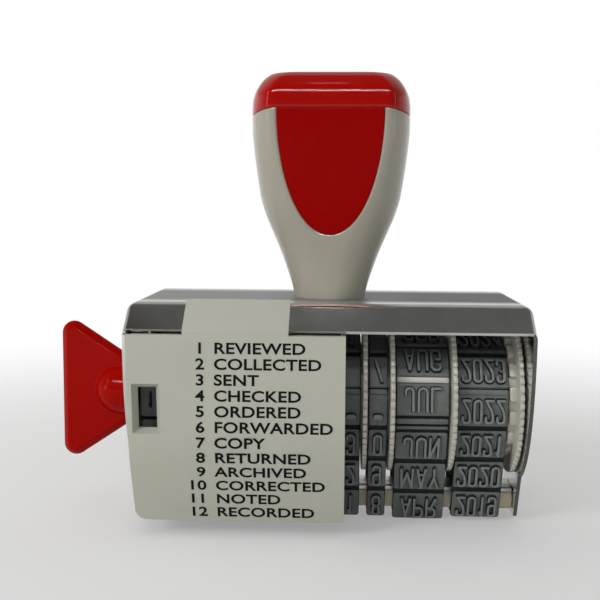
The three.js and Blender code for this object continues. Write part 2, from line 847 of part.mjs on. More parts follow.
function handleBodySolid() {
  const core = handleForm(plaqueThickness + plaqueGap);
  let body = handleForm(0);
  for (const side of [-1, 1]) {
    body = body.subtract(plaquePrism(plaqueGap, side).subtract(core));
    const x = (side * handlePegSpacing) / 2;
    body = body.add(barUpright(handlePegRadius, roofUnder, roofTop + sheet, x));
  }
  const spigotFloor = handleSeamHeight - capSpigotDepth - seatGap;
  return body
    .subtract(boxBetween(
      [-capSpigotHalfWidth - seatGap, -capSpigotHalfDepth - seatGap, spigotFloor],
      [capSpigotHalfWidth + seatGap, capSpigotHalfDepth + seatGap, handleSeamHeight + cutOverrun],
    ))
    .subtract(barUpright(screwRadius + fixedGap, roofUnder - cutOverrun, screwBoreTop));
}

function handleCapSolid() {
  return capForm().add(boxBetween(
    [-capSpigotHalfWidth, -capSpigotHalfDepth, handleSeamHeight - capSpigotDepth],
    [capSpigotHalfWidth, capSpigotHalfDepth, handleSeamHeight + seatGap],
  ));
}

function handleScrewSolid() {
  const headTop = roofUnder - screwWasherThickness;
  return barUpright(screwHeadRadius, headTop - screwHeadHeight, headTop)
    .add(barUpright(screwRadius, headTop - screwHeadHeight / 2, roofTop + screwReach));
}

function washerUpright(radius, bore, low, high) {
  return barUpright(radius, low, high).subtract(barUpright(bore, low - cutOverrun, high + cutOverrun));
}

function axleWasherSolid() {
  const outer = frameRight + axleWasherThickness;
  return barAlongX(axleWasherRadius, frameRight, outer)
    .subtract(barAlongX(axleRadius + fixedGap, frameRight - cutOverrun, outer + cutOverrun));
}

// The assembly

addPart('frame', frameSolid(), 'chrome');
addPart('handle_body', handleBodySolid(), 'ivory');
addPart('handle_cap', handleCapSolid(), 'red');
addPart('front_plaque', plaqueSolid(-1), 'red');
addPart('back_plaque', plaqueSolid(1), 'red');
addPart('handle_screw', handleScrewSolid(), 'steel');
addPart('handle_screw_washer', washerUpright(
  screwWasherRadius,
  screwRadius + fixedGap,
  roofUnder - screwWasherThickness,
  roofUnder,
), 'steel');
addPart('axle', axleSolid(), 'steel');
addPart('axle_washer', axleWasherSolid(), 'steel');
addPart('print_shoe', shoeSolid(), 'shoe');
addPart('shoe_strip', stripSolid(), 'steel');
addPart('phrase_cover', coverSolid(), 'cover');
addPart('phrase_knob', phraseKnobSolid(), 'red');
addPart('phrase_drum', phraseDrumSolid(), 'wheel');
addPart('phrase_band', bandSolid(phraseLeft, phraseRight), 'rubber');
for (const dial of dials) {
  addPart(`${dial.name}_wheel`, dialSolid(dial), 'wheel');
  addPart(`${dial.name}_band`, bandSolid(dial.bandLeft, dial.bandRight), 'rubber');
}

export default stamp;
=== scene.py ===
import math

import bmesh
import bpy
import numpy as np
from mathutils import Matrix, Vector


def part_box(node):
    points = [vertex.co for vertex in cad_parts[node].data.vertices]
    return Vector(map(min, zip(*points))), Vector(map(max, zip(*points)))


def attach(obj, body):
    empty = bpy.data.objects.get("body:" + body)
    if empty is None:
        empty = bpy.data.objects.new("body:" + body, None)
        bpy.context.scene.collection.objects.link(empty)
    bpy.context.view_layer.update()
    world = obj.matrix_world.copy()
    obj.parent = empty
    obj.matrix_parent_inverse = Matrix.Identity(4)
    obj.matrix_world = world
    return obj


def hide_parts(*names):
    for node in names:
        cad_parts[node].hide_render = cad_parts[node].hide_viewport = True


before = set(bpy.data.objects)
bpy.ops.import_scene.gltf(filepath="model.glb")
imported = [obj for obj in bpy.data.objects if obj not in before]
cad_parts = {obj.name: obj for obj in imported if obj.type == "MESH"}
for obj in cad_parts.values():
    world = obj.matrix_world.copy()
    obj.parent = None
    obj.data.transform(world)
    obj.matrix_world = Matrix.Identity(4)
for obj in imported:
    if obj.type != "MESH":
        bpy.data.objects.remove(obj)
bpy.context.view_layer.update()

# Sizes in this script are in millimetres. Meshes are made in them and scaled once.
MM = 0.001


def span(node):
    """Lowest and highest corner of a CAD node, in millimetres."""
    low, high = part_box(node)
    return low / MM, high / MM


# Places read from the frame
HALF_WIDTH, LIP_HALF_DEPTH, ROOF_TOP = span("frame")[1]
HANDLE_HALF_WIDTH, HANDLE_HALF_DEPTH, SEAM = span("handle_body")[1]
CAP_TOP = span("handle_cap")[1].z
RIM_LOW, RIM_HIGH = span("year_wheel")
AXLE_HEIGHT = (RIM_LOW.z + RIM_HIGH.z) / 2
RIM_RADIUS = (RIM_HIGH.z - RIM_LOW.z) / 2
DRUM_LEFT, DRUM_RIGHT = (corner.x for corner in span("phrase_drum"))
COVER_LOW, COVER_HIGH = span("phrase_cover")
KNOB_TIP = span("phrase_knob")[0].x
DIALS = ("year", "month", "day_units", "day_tens")

# Frame sheet
SHEET = 0.6
ROOF_HALF_DEPTH = 12.7
LIP_HEIGHT = ROOF_TOP - 3.8
CHEEK_WAIST_SHARE = 0.976
CHEEK_WAIST_HEIGHT = 13.5
CHEEK_FOOT = (7.4, 8.6)
CHEEK_TOE = (4.2, 1.0)
END_BEND = 1.7
ROOF_BEND = 0.9
CORNER_BEND = 0.8
SHEET_EDGE = 0.14
DULL_HEIGHT = 16.5
AXLE_RADIUS = 1.5
KNOB_SHAFT_RADIUS = 3.5
CLEARANCE = 0.1
PEG_RADIUS = 0.8
PEG_OFFSET = 1.5
LOCATING_OFFSET = 4.2
STRIP_TAB_HALF_DEPTH = 1.3

# Dials
RIM_THICKNESS = 0.76
TOOTH_COUNT = 62
TOOTH_DEPTH = 0.5
HUB_RADIUS = 10.35
HUB_RIB_COUNT = 16
DRUM_RADIUS = 9.2
DRUM_RIB_DEPTH = 0.8
AXLE_GAP = 0.15

# Bands
CARRIER = 0.45
BLOCK_BASE = 0.44
TYPE_RELIEF = 0.66
BLOCK_COUNT = 13
BLOCK_GAP = 0.75
DRUM_TO_BAND = 0.25
SHOE_HALF_DEPTH = 3.1
SHOE_CORNER = 0.8
SHOE_GAP = 0.15
SHOE_HEIGHT = 3.1
STRIP = 0.6
SHOE_BOTTOM = CARRIER + BLOCK_BASE + TYPE_RELIEF + SHOE_GAP
SHOE_TOP = SHOE_BOTTOM + SHOE_HEIGHT
PEG_HEIGHT = (SHOE_BOTTOM + SHOE_TOP) / 2

# Cover
COVER_FRONT = COVER_LOW.y
COVER_THICKNESS = 1.5
COVER_TOP = LIP_HEIGHT - SHEET * math.sqrt(0.5) - 0.3
COVER_BOTTOM = COVER_LOW.z
COVER_BEND_HEIGHT = 18
COVER_BEND_RADIUS = 22
COVER_LEAN = math.radians(17)
COVER_TAPER = 0.7
COVER_STRAIGHT = COVER_TOP - COVER_BEND_HEIGHT
COVER_BEND_RUN = COVER_LEAN * COVER_BEND_RADIUS

# Handle
NECK_RADIUS = 5.9
HANDLE_FLAT = 8.9
PLAQUE_HALF_WIDTH = 8.65
PLAQUE_THICKNESS = 1.2
PLAQUE_TIP = ROOF_TOP + (SEAM - ROOF_TOP) * 0.345
PLAQUE_SHOULDER_SHARE = 0.545
PLAQUE_CHIN_SHARE = 0.58
SEAM_DIP = 0.9


# Node trees

def opaque(colour):
    """A colour with its alpha. A wire stays as it is."""
    return (*colour, 1) if isinstance(colour, tuple) else colour


class Wire:
    """An output socket of a node tree, so that maths with it reads as plain sums."""

    def __init__(self, graph, socket):
        self.graph = graph
        self.socket = socket

    def beside(self, output):
        """Another output of the same node."""
        return Wire(self.graph, self.socket.node.outputs[output])

    def math(self, operation, *values):
        return self.graph.node("ShaderNodeMath", {"operation": operation}, dict(enumerate(values)))

    def spread(self, low, high):
        """A 0 to 1 value taken to the span from low to high."""
        return self * (high - low) + low

    def __add__(self, other):
        return self.math("ADD", self, other)

    def __mul__(self, other):
        return self.math("MULTIPLY", self, other)


class Graph:
    """A node tree under way, and the calls that add to it."""

    def __init__(self, tree):
        self.tree = tree

    def node(self, kind, settings=None, sockets=None, output=0):
        made = self.tree.nodes.new(kind)
        for name, value in (settings or {}).items():
            setattr(made, name, value)
        for key, value in (sockets or {}).items():
            self.feed(made.inputs[key], value)
        return Wire(self, made.outputs[output])

    def feed(self, socket, value):
        """Links a wire, or each wire of a list, to a socket. A plain value is set on it."""
        for one in value if isinstance(value, list) else [value]:
            if isinstance(one, Wire):
                self.tree.links.new(one.socket, socket)
            else:
                socket.default_value = one

    def ramp(self, value, *stops):
        """A value taken through (position, colour or grey) stops."""
        made = self.node("ShaderNodeValToRGB", {}, {"Fac": value})
        elements = made.socket.node.color_ramp.elements
        while len(elements) < len(stops):
            elements.new(0.5)
        for element, (position, shade) in zip(elements, stops):
            element.position = position
            element.color = opaque(shade if isinstance(shade, tuple) else (shade, shade, shade))
        return made

    def between(self, value, low, high, first=0.0, last=1.0, smooth=False):
        """How far a value is from low to high, as a value from first to last."""
        settings = {"interpolation_type": "SMOOTHSTEP" if smooth else "LINEAR"}
        sockets = {"Value": value, "From Min": low, "From Max": high, "To Min": first, "To Max": last}
        return self.node("ShaderNodeMapRange", settings, sockets)

    def mix(self, mask, first, second):
        sockets = {0: mask, 6: opaque(first), 7: opaque(second)}
        return self.node("ShaderNodeMix", {"data_type": "RGBA"}, sockets, output=2)


class Paint(Graph):
    """A material under way. Its textures are placed on the object, in millimetres."""

    def __init__(self, name):
        self.material = bpy.data.materials.new(name)
        self.material.use_nodes = True
        super().__init__(self.material.node_tree)
        self.shader = self.tree.nodes["Principled BSDF"]
        place = self.node("ShaderNodeTexCoord", output="Object")
        self.place = self.node("ShaderNodeVectorMath", {"operation": "SCALE"}, {0: place, "Scale": 1 / MM})

    def noise(self, scale, detail=3, roughness=0.55, place=None):
        """Noise of a scale given in features per millimetre."""
        sockets = {"Vector": place or self.place, "Scale": scale, "Detail": detail, "Roughness": roughness}
        return self.node("ShaderNodeTexNoise", {}, sockets)

    def stretched(self, x, y, z):
        return self.node("ShaderNodeVectorMath", {"operation": "MULTIPLY"}, {0: self.place, 1: (x, y, z)})

    def height(self):
        return self.node("ShaderNodeSeparateXYZ", {}, {0: self.place}, output="Z")

    def bump(self, height, distance, strength):
        sockets = {"Height": height, "Distance": distance * MM, "Strength": strength}
        return self.node("ShaderNodeBump", {}, sockets)

    def finish(self, **values):
        names = {"colour": "Base Color", "specular": "Specular IOR Level"}
        for key, value in values.items():
            self.feed(self.shader.inputs[names.get(key, key.title())], opaque(value))
        return self.material


# Materials

DUST_HEIGHTS = (ROOF_TOP - 0.12, ROOF_TOP - 0.02)
DUST_DEPTHS = (6.5, 11.0)
# The roof's film darkens the plating, and painted shade makes it darker from left to right over this span
ROOF_SHADE_ACROSS = (-12.0, 16.0)
DUST_AND_SHADE_COVER = 0.9
ROOF_HAZE = 0.2
BEND_HEIGHTS = (ROOF_TOP - 0.36, ROOF_TOP - 0.24)
BEND_HAZE = 0.2
# Heights over which painted shade darkens the bands under the roof's lip, and how dark it gets there
LIP_SHADE_HEIGHTS = (AXLE_HEIGHT + 6.6, AXLE_HEIGHT + 8.2)
LIP_SHADE_COVER = 0.72


def chrome_finish():
    """Bright plating, hazed by handling, with a film of dust on the level roof behind its front bend, its
    colour darker towards the right as painted shade.
    """
    paint = Paint("bright_chrome")
    haze = paint.noise(0.22, 4)
    smear = paint.noise(0.9, 5, 0.6, paint.stretched(0.35, 1, 1))
    speckle = paint.noise(7, 2, 0.6)
    height = paint.height()
    along = height.beside("Y")
    inland = paint.between(along.math("ABSOLUTE", along), *DUST_DEPTHS, 1.0, 0.0, smooth=True)
    film = paint.between(height, *DUST_HEIGHTS) * inland
    worn = paint.between(height, *BEND_HEIGHTS)
    # Painted shade: the film's colour is lighter on the left of the roof and dark on the right
    shade_across = paint.between(height.beside("X"), *ROOF_SHADE_ACROSS)
    dust = paint.mix(shade_across, (0.29, 0.305, 0.315), (0.085, 0.092, 0.098))
    bright = paint.mix(paint.ramp(haze, (0.35, 0.0), (0.7, 1.0)), (0.6, 0.6, 0.575), (0.68, 0.685, 0.67))
    roughness = smear.spread(0.05, 0.14) + speckle * 0.03 + worn * BEND_HAZE + film * ROOF_HAZE
    waves = paint.noise(0.1, 1, 0.4) + smear * 0.06 + paint.noise(1.6, 2, 0.5) * 0.02
    return paint.finish(colour=paint.mix(film * DUST_AND_SHADE_COVER, bright, dust), metallic=1.0,
                        roughness=roughness, normal=paint.bump(waves, 0.05, 0.4))


def steel_finish():
    paint = Paint("plain_steel")
    grain = paint.noise(4, 4, 0.6, paint.stretched(0.2, 1.5, 1.5))
    tone = paint.mix(paint.noise(0.6, 3), (0.42, 0.42, 0.41), (0.58, 0.58, 0.57))
    return paint.finish(colour=tone, metallic=1.0, roughness=grain.spread(0.25, 0.45),
                        normal=paint.bump(grain, 0.01, 0.4))


def cut_edge_finish():
    """The sheet's cut edge, where the plating is dull and dark."""
    paint = Paint("cut_edge")
    grain = paint.noise(2.5, 4, 0.6)
    tone = paint.mix(grain, (0.07, 0.07, 0.066), (0.15, 0.15, 0.145))
    return paint.finish(colour=tone, metallic=1.0, roughness=grain.spread(0.25, 0.4))


def moulded(name, dark, light, rough, gloss, grain_height):
    """Glossy moulded plastic: a slow drift of tone, fine surface grain and a soft polish."""
    paint = Paint(name)
    tone = paint.mix(paint.noise(0.09, 3), dark, light)
    polish = paint.noise(0.5, 5, 0.65).spread(*rough)
    relief = paint.bump(paint.noise(3.2, 3, 0.5), grain_height, 0.35)
    return paint.finish(colour=tone, roughness=polish, specular=gloss, normal=relief)


def matte_moulded(name, dark, light, grain_scale, grain_height, rough=(0.48, 0.66), gloss=0.5):
    """Spark-eroded matte plastic: fine even grain over a slight drift of tone."""
    paint = Paint(name)
    grain = paint.noise(grain_scale, 2, 0.6)
    tone = paint.mix(paint.noise(0.14, 4), dark, light)
    return paint.finish(colour=tone, roughness=grain.spread(*rough), specular=gloss,
                        normal=paint.bump(grain, grain_height, 0.6))


def rubber_finish(name, dark, light, gloss=0.3):
    """Dusty rubber, darkened near the top of the bands by painted shade where the roof's lip shades them."""
    paint = Paint(name)
    bloom = paint.noise(0.8, 5, 0.65)
    dust = paint.noise(5, 3, 0.6)
    clean = paint.mix(paint.ramp(bloom, (0.3, 0.0), (0.75, 1.0)), dark, light)
    # Painted shade: the rubber turns near black towards the top of the bands, under the roof's lip
    lip_shaded = paint.between(paint.height(), *LIP_SHADE_HEIGHTS)
    tone = paint.mix(lip_shaded * LIP_SHADE_COVER, clean, (0.012, 0.013, 0.013))
    return paint.finish(colour=tone, roughness=dust.spread(0.5, 0.72), specular=gloss,
                        normal=paint.bump(dust, 0.02, 0.5))


CHROME = chrome_finish()
STEEL = steel_finish()
CUT_EDGE = cut_edge_finish()
IVORY = moulded("ivory_plastic", (0.338, 0.316, 0.255), (0.388, 0.364, 0.302), (0.15, 0.24), 0.36, 0.004)
CAP_RED = moulded("cap_red", (0.36, 0.001, 0.0002), (0.42, 0.003, 0.0003), (0.04, 0.07), 0.22, 0.0004)
PLAQUE_RED = moulded("plaque_red", (0.29, 0.0004, 0.0002), (0.335, 0.0008, 0.0004), (0.22, 0.32), 0.03,
                     0.002)
KNOB_RED = moulded("knob_red", (0.325, 0.001, 0.0001), (0.38, 0.003, 0.0002), (0.07, 0.12), 0.06, 0.002)
COVER_GREY = matte_moulded("cover_grey", (0.47, 0.472, 0.397), (0.52, 0.522, 0.437), 6, 0.02)
DIAL_WHITE = matte_moulded("dial_white", (0.52, 0.51, 0.44), (0.62, 0.605, 0.53), 3, 0.015, (0.36, 0.5))
SHOE_CREAM = matte_moulded("shoe_cream", (0.5, 0.44, 0.31), (0.64, 0.57, 0.42), 2.5, 0.03)
BAND_RUBBER = rubber_finish("band_rubber", (0.128, 0.146, 0.139), (0.176, 0.197, 0.188))
# Lighter copy of the band rubber: painted light on the raised type tops and the window's number pads
LIT_TYPE_RUBBER = rubber_finish("type_rubber", (0.2, 0.218, 0.208), (0.26, 0.28, 0.268))
# Dark copy of the band rubber: ink with painted shade on type sides, block sides and the grooves between
# blocks
INK_AND_SHADE_RUBBER = rubber_finish("inked_rubber", (0.016, 0.018, 0.017), (0.034, 0.038, 0.036), 0.15)
PRINT_BLACK = matte_moulded("print_black", (0.004, 0.004, 0.004), (0.008, 0.008, 0.008), 8, 0.005, gloss=0.1)


# Meshes

MERGE_DISTANCE = 1e-7
UPRIGHT_STEPS = 48


def linked(name, data):
    """A new object in the scene."""
    obj = bpy.data.objects.new(name, data)
    bpy.context.scene.collection.objects.link(obj)
    return obj


def from_bmesh(name, shape):
    mesh = bpy.data.meshes.new(name)
    shape.to_mesh(mesh)
    shape.free()
    return linked(name, mesh)


def mesh_object(name, corners, faces):
    """A mesh object from corners in millimetres, with its faces turned outwards."""
    mesh = bpy.data.meshes.new(name)
    mesh.from_pydata([Vector(corner) * MM for corner in corners], [], faces)
    shape = bmesh.new()
    shape.from_mesh(mesh)
    bmesh.ops.remove_doubles(shape, verts=shape.verts, dist=MERGE_DISTANCE)
    bmesh.ops.recalc_face_normals(shape, faces=shape.faces)
    shape.to_mesh(mesh)
    shape.free()
    return linked(name, mesh)


def baked(obj):
    """Turns an object's modifiers, or a curve, into its plain mesh."""
    depsgraph = bpy.context.evaluated_depsgraph_get()
    mesh = bpy.data.meshes.new_from_object(obj.evaluated_get(depsgraph))
    if obj.type == "MESH":
        obj.modifiers.clear()
        obj.data = mesh
        return obj
    name = obj.name
    bpy.data.objects.remove(obj)
    return linked(name, mesh)


def modified(obj, kind, **settings):
    modifier = obj.modifiers.new(kind.lower(), kind)
    for name, value in settings.items():
        setattr(modifier, name, value)
    return baked(obj)


def cut(obj, *cutters, operation="DIFFERENCE"):
    for cutter in cutters:
        obj = modified(obj, "BOOLEAN", operation=operation, solver="EXACT", object=cutter)
        bpy.data.objects.remove(cutter)
    return obj


def joined(obj, *others):
    return cut(obj, *others, operation="UNION")


def eased(obj, width, segments=2, angle=40):
    """Rounds the edges that are sharper than an angle."""
    return modified(obj, "BEVEL", width=width * MM, segments=segments, limit_method="ANGLE",
                    angle_limit=math.radians(angle), miter_outer="MITER_ARC")


def arc(centre, radius, start, end, steps):
    """Points round a centre, from one turn to another."""
    turns = [start + (end - start) * step / steps for step in range(steps + 1)]
    return [(centre[0] + radius * math.cos(turn), centre[1] + radius * math.sin(turn)) for turn in turns]


def ring_of(radius, steps, centre=(0, 0)):
    return arc(centre, radius, 0, 2 * math.pi, steps)[:-1]


def rectangle(low, high, inward=0):
    """Corners of a rectangle between two of them, drawn in on every side."""
    left, right, bottom, top = low[0] + inward, high[0] - inward, low[1] + inward, high[1] - inward
    return [(left, bottom), (right, bottom), (right, top), (left, top)]


def ring_faces(first, second):
    """Faces between two rings, which are lists of corner numbers."""
    return list(zip(first, first[1:] + first[:1], second[1:] + second[:1], second))


def lofted(name, rings, looped=False):
    """A solid through rings of equal counts: closed by its end rings, or run on from last to first."""
    count = len(rings[0])
    levels = [list(range(level * count, (level + 1) * count)) for level in range(len(rings))]
    faces = [] if looped else [tuple(levels[0]), tuple(levels[-1])]
    following = levels[1:] + (levels[:1] if looped else [])
    for first, second in zip(levels, following):
        faces += ring_faces(first, second)
    return mesh_object(name, [corner for ring in rings for corner in ring], faces)


def prism(name, outline, low, high, axis="x"):
    """An outline of two-way points, drawn out from low to high along the axis that the points leave out."""
    at = "xyz".index(axis)
    return lofted(name, [[(*point[:at], along, *point[at:]) for point in outline] for along in (low, high)])


def box(name, low, high):
    return prism(name, rectangle(low[1:], high[1:]), low[0], high[0])


def bar(name, radius, low, high, y=0, z=AXLE_HEIGHT, steps=64):
    return prism(name, ring_of(radius, steps, (y, z)), low, high)


def upright(name, radius, low, high, x=0):
    return prism(name, ring_of(radius, UPRIGHT_STEPS, (x, 0)), low, high, axis="z")


def turned(name, profile, steps, closed=False):
    """A turned piece about the axle, from (radius, x) points: axis to axis, or closed round a bore."""
    corners, faces, levels = [], [], []
    for radius, x in profile:
        ring = ring_of(radius, steps if radius else 1, (0, AXLE_HEIGHT))
        numbers = list(range(len(corners), len(corners) + len(ring)))
        levels.append(numbers if radius else numbers * steps)
        corners += [(x, *point) for point in ring]
    following = levels[1:] + (levels[:1] if closed else [])
    for first, second in zip(levels, following):
        faces += [tuple(dict.fromkeys(face)) for face in ring_faces(first, second)]
    return mesh_object(name, corners, [face for face in faces if len(face) > 2])


def blended(table, levels):
    """Rows of a table of (position, values...) carried smoothly to more levels."""
    rows = np.array(table, float)
    at = rows[:, 0]
    wanted = np.array(levels, float)
    index = np.clip(np.searchsorted(at, wanted, side="right") - 1, 0, len(at) - 2)
    width = at[index + 1] - at[index]
    share = (wanted - at[index]) / width
    columns = [wanted]
    for column in rows.T[1:]:
        slope = np.gradient(column, at)
        first, second = column[index], column[index + 1]
        columns.append(
            first * (2 * share ** 3 - 3 * share ** 2 + 1)
            + slope[index] * width * (share ** 3 - 2 * share ** 2 + share)
            + second * (3 * share ** 2 - 2 * share ** 3)
            + slope[index + 1] * width * (share ** 3 - share ** 2)
        )
    return np.array(columns).T


def finished(obj, materials, body, node=None, smooth=32, weighted=False):
    """Gives a piece its finish and puts it on its body."""
    places = [face.material_index if len(materials) > 1 else 0 for face in obj.data.polygons]
    obj.data.materials.clear()
    for material in materials:
        obj.data.materials.append(material)
    obj.data.polygons.foreach_set("material_index", places)
    obj.data.shade_smooth()
    obj.data.set_sharp_from_angle(angle=math.radians(smooth))
    if weighted:
        obj = modified(obj, "WEIGHTED_NORMAL", keep_sharp=True, weight=100)
    obj.data.name = obj.name
    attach(obj, body)
    if node:
        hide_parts(node)
    return obj


# Geometry Nodes

class Web(Graph):
    """A Geometry Nodes tree under way, with named inputs that a modifier sets."""

    def __init__(self, name, **inputs):
        super().__init__(bpy.data.node_groups.new(name, "GeometryNodeTree"))
        add = self.tree.interface.new_socket
        add("Geometry", in_out="INPUT", socket_type="NodeSocketGeometry")
        add("Geometry", in_out="OUTPUT", socket_type="NodeSocketGeometry")
        for label, kind in inputs.items():
            add(label, in_out="INPUT", socket_type="NodeSocket" + kind)
        outputs = self.tree.nodes.new("NodeGroupInput").outputs
        self.given = {label: Wire(self, outputs[label]) for label in ("Geometry", *inputs)}
        self.result = self.tree.nodes.new("NodeGroupOutput").inputs[0]

    def shape_of(self, label):
        """Geometry of the object given as an input."""
        return self.node("GeometryNodeObjectInfo", {}, {"Object": self.given[label]}, output="Geometry")

    def placed(self, points, label, rotation):
        """Copies of the object given as an input, one at each point."""
        sockets = {"Points": points, "Instance": self.shape_of(label), "Rotation": rotation}
        return self.node("GeometryNodeInstanceOnPoints", {}, sockets)

    def close(self, *parts):
        """Ends the tree: its parts joined, instances made real, and the material set."""
        together = self.node("GeometryNodeJoinGeometry", {}, {0: list(parts)})
        real = self.node("GeometryNodeRealizeInstances", {}, {0: together})
        coated = self.node("GeometryNodeSetMaterial", {}, {0: real, "Material": self.given["Material"]})
        self.feed(self.result, coated)
        return self

    def grown(self, obj, **values):
        """Runs the tree on an object and keeps the plain mesh."""
        modifier = obj.modifiers.new(self.tree.name, "NODES")
        modifier.node_group = self.tree
        for item in self.tree.interface.items_tree:
            if item.in_out == "INPUT" and item.name in values:
                modifier[item.identifier] = values[item.name]
        grown = baked(obj)
        grown.data.materials.clear()
        grown.data.materials.append(values["Material"])
        for face in grown.data.polygons:
            face.material_index = 0
        return grown


def copies_round_axle():
    """Copies of a piece, turned about the dials' axle and joined to what they stand on."""
    web = Web("copies_round_axle", Copies="Int", Copied="Object", Axle="Vector", Start="Float",
              Material="Material")
    copies = web.given["Copies"]
    points = web.node("GeometryNodePoints", {}, {"Count": copies, "Position": web.given["Axle"]})
    number = web.node("GeometryNodeInputIndex")
    share = number.math("DIVIDE", number, copies)
    turn = share.math("MULTIPLY_ADD", share, 2 * math.pi, web.given["Start"])
    rotation = web.node("ShaderNodeCombineXYZ", {}, {"X": turn})
    return web.close(web.given["Geometry"], web.placed(points, "Copied", rotation))


def belt_with_blocks():
    """A flat belt swept along a path, with a block set on it at each given place and turn."""
    web = Web("belt_with_blocks", Path="Object", Width="Float", Thickness="Float", Block="Object",
              Material="Material")
    section = web.node("GeometryNodeCurvePrimitiveQuadrilateral", {},
                       {"Width": web.given["Width"], "Height": web.given["Thickness"]})
    belt = web.node("GeometryNodeCurveToMesh", {},
                    {"Curve": web.shape_of("Path"), "Profile Curve": section})
    turn = web.node("GeometryNodeInputNamedAttribute", {"data_type": "FLOAT_VECTOR"}, {"Name": "turn"})
    return web.close(belt, web.placed(web.given["Geometry"], "Block", turn))


COPIES_ROUND_AXLE = copies_round_axle()
BELT_WITH_BLOCKS = belt_with_blocks()


# Camera, at the photograph's viewing angle

CAMERA_PLACE = (2.285, -159.84, 53.01)
CAMERA_YAW = -0.046
CAMERA_PITCH = 0.1005
CAMERA_ROLL = 0.006
FOCAL_PIXELS = 937.26
PICTURE_PIXELS = 600
SENSOR = 36


def make_camera():
    ahead = Vector((math.sin(CAMERA_YAW) * math.cos(CAMERA_PITCH),
                    math.cos(CAMERA_YAW) * math.cos(CAMERA_PITCH), -math.sin(CAMERA_PITCH)))
    level = Vector((math.cos(CAMERA_YAW), -math.sin(CAMERA_YAW), 0))
    upward = level.cross(ahead)
    right = level * math.cos(CAMERA_ROLL) + upward * math.sin(CAMERA_ROLL)
    up = upward * math.cos(CAMERA_ROLL) - level * math.sin(CAMERA_ROLL)
    lens = bpy.data.cameras.new("camera")
    lens.sensor_width = SENSOR
    lens.lens = FOCAL_PIXELS * SENSOR / PICTURE_PIXELS
    lens.clip_start = 0.01
    camera = linked("camera", lens)
    turn = Matrix((right, up, -ahead)).transposed().to_4x4()
    camera.matrix_world = Matrix.Translation(Vector(CAMERA_PLACE) * MM) @ turn
    bpy.context.scene.camera = camera


# Frame

CHEEK_STEPS = 20
SKIN_MARGIN = 0.02


def cheek_edge():
    """Points (half depth, height) down the curved edge of a cheek, from the lip to the toe."""
    first = Vector((LIP_HALF_DEPTH, LIP_HEIGHT))
    middle = Vector((LIP_HALF_DEPTH * CHEEK_WAIST_SHARE, CHEEK_WAIST_HEIGHT))
    last = Vector(CHEEK_FOOT)
    points = []
    for step in range(CHEEK_STEPS + 1):
        share = step / CHEEK_STEPS
        points.append(first * (1 - share) ** 2 + middle * 2 * share * (1 - share) + last * share ** 2)
    return [*points, Vector(CHEEK_TOE)]


def make_frame_skin():
    """The outer skin of the bent sheet, its folds marked with how widely each is rounded."""
    shape = bmesh.new()
    rings = []
    for x in (-HALF_WIDTH, HALF_WIDTH):
        front = [(x, -ROOF_HALF_DEPTH, ROOF_TOP)] + [(x, -depth, height) for depth, height in cheek_edge()]
        back = [(x, -y, z) for _, y, z in reversed(front)]
        rings.append([shape.verts.new(Vector(corner) * MM) for corner in front + back])
        shape.faces.new(rings[-1])
    left, right = rings
    for first, second in ((0, -1), (1, 0), (-1, -2)):
        shape.faces.new((left[first], right[first], right[second], left[second]))
    shape.normal_update()
    bmesh.ops.recalc_face_normals(shape, faces=shape.faces)
    bends = shape.edges.layers.float.new("bevel_weight_edge")
    for line in shape.edges:
        run = line.verts[0].co - line.verts[1].co
        if line.is_boundary:
            continue
        if abs(run.x) > MM:
            line[bends] = ROOF_BEND / END_BEND
        else:
            line[bends] = 1 if abs(run.z) < MM else CORNER_BEND / END_BEND
    if shape.faces[0].normal.x > 0:
        bmesh.ops.reverse_faces(shape, faces=shape.faces)
    return from_bmesh("frame_shell", shape)


def make_frame_shell():
    """The bent sheet: its outer skin with soft bends, given its thickness inwards."""
    obj = modified(make_frame_skin(), "BEVEL", width=END_BEND * MM, segments=8, limit_method="WEIGHT")
    obj = modified(obj, "SOLIDIFY", thickness=SHEET * MM, offset=-1, use_even_offset=True,
                   use_quality_normals=True)
    out, deep = HALF_WIDTH + SHEET, HALF_WIDTH - 3 * SHEET
    above, below = ROOF_TOP + SHEET, ROOF_TOP - 3 * SHEET
    slot = STRIP_TAB_HALF_DEPTH + CLEARANCE
    cutters = [
        bar("knob_hole", KNOB_SHAFT_RADIUS + AXLE_GAP, -out, -deep),
        bar("axle_hole", AXLE_RADIUS + CLEARANCE, deep, out),
        upright("screw_hole", AXLE_RADIUS + CLEARANCE, below, above),
        box("strip_slots", (-out, -slot, SHOE_TOP - CLEARANCE), (out, slot, SHOE_TOP + STRIP + CLEARANCE)),
    ]
    hole = PEG_RADIUS + CLEARANCE
    for side in (-1, 1):
        cutters.append(bar("peg_hole", hole, -out, out, side * PEG_OFFSET, PEG_HEIGHT, 24))
        cutters.append(upright("locating_hole", hole, below, above, side * LOCATING_OFFSET))
    obj = eased(cut(obj, *cutters), SHEET_EDGE, 2, 50)
    for face in obj.data.polygons:
        x, z = face.center.x / MM, face.center.z / MM
        within = HALF_WIDTH - SHEET + SKIN_MARGIN < abs(x) < HALF_WIDTH - SKIN_MARGIN
        dulled = z < (LIP_HEIGHT - 0.3 if x > 0 else DULL_HEIGHT)
        face.material_index = int(within and dulled)
    return finished(obj, [CHROME, CUT_EDGE], "root", "frame", 28, True)


# Handle

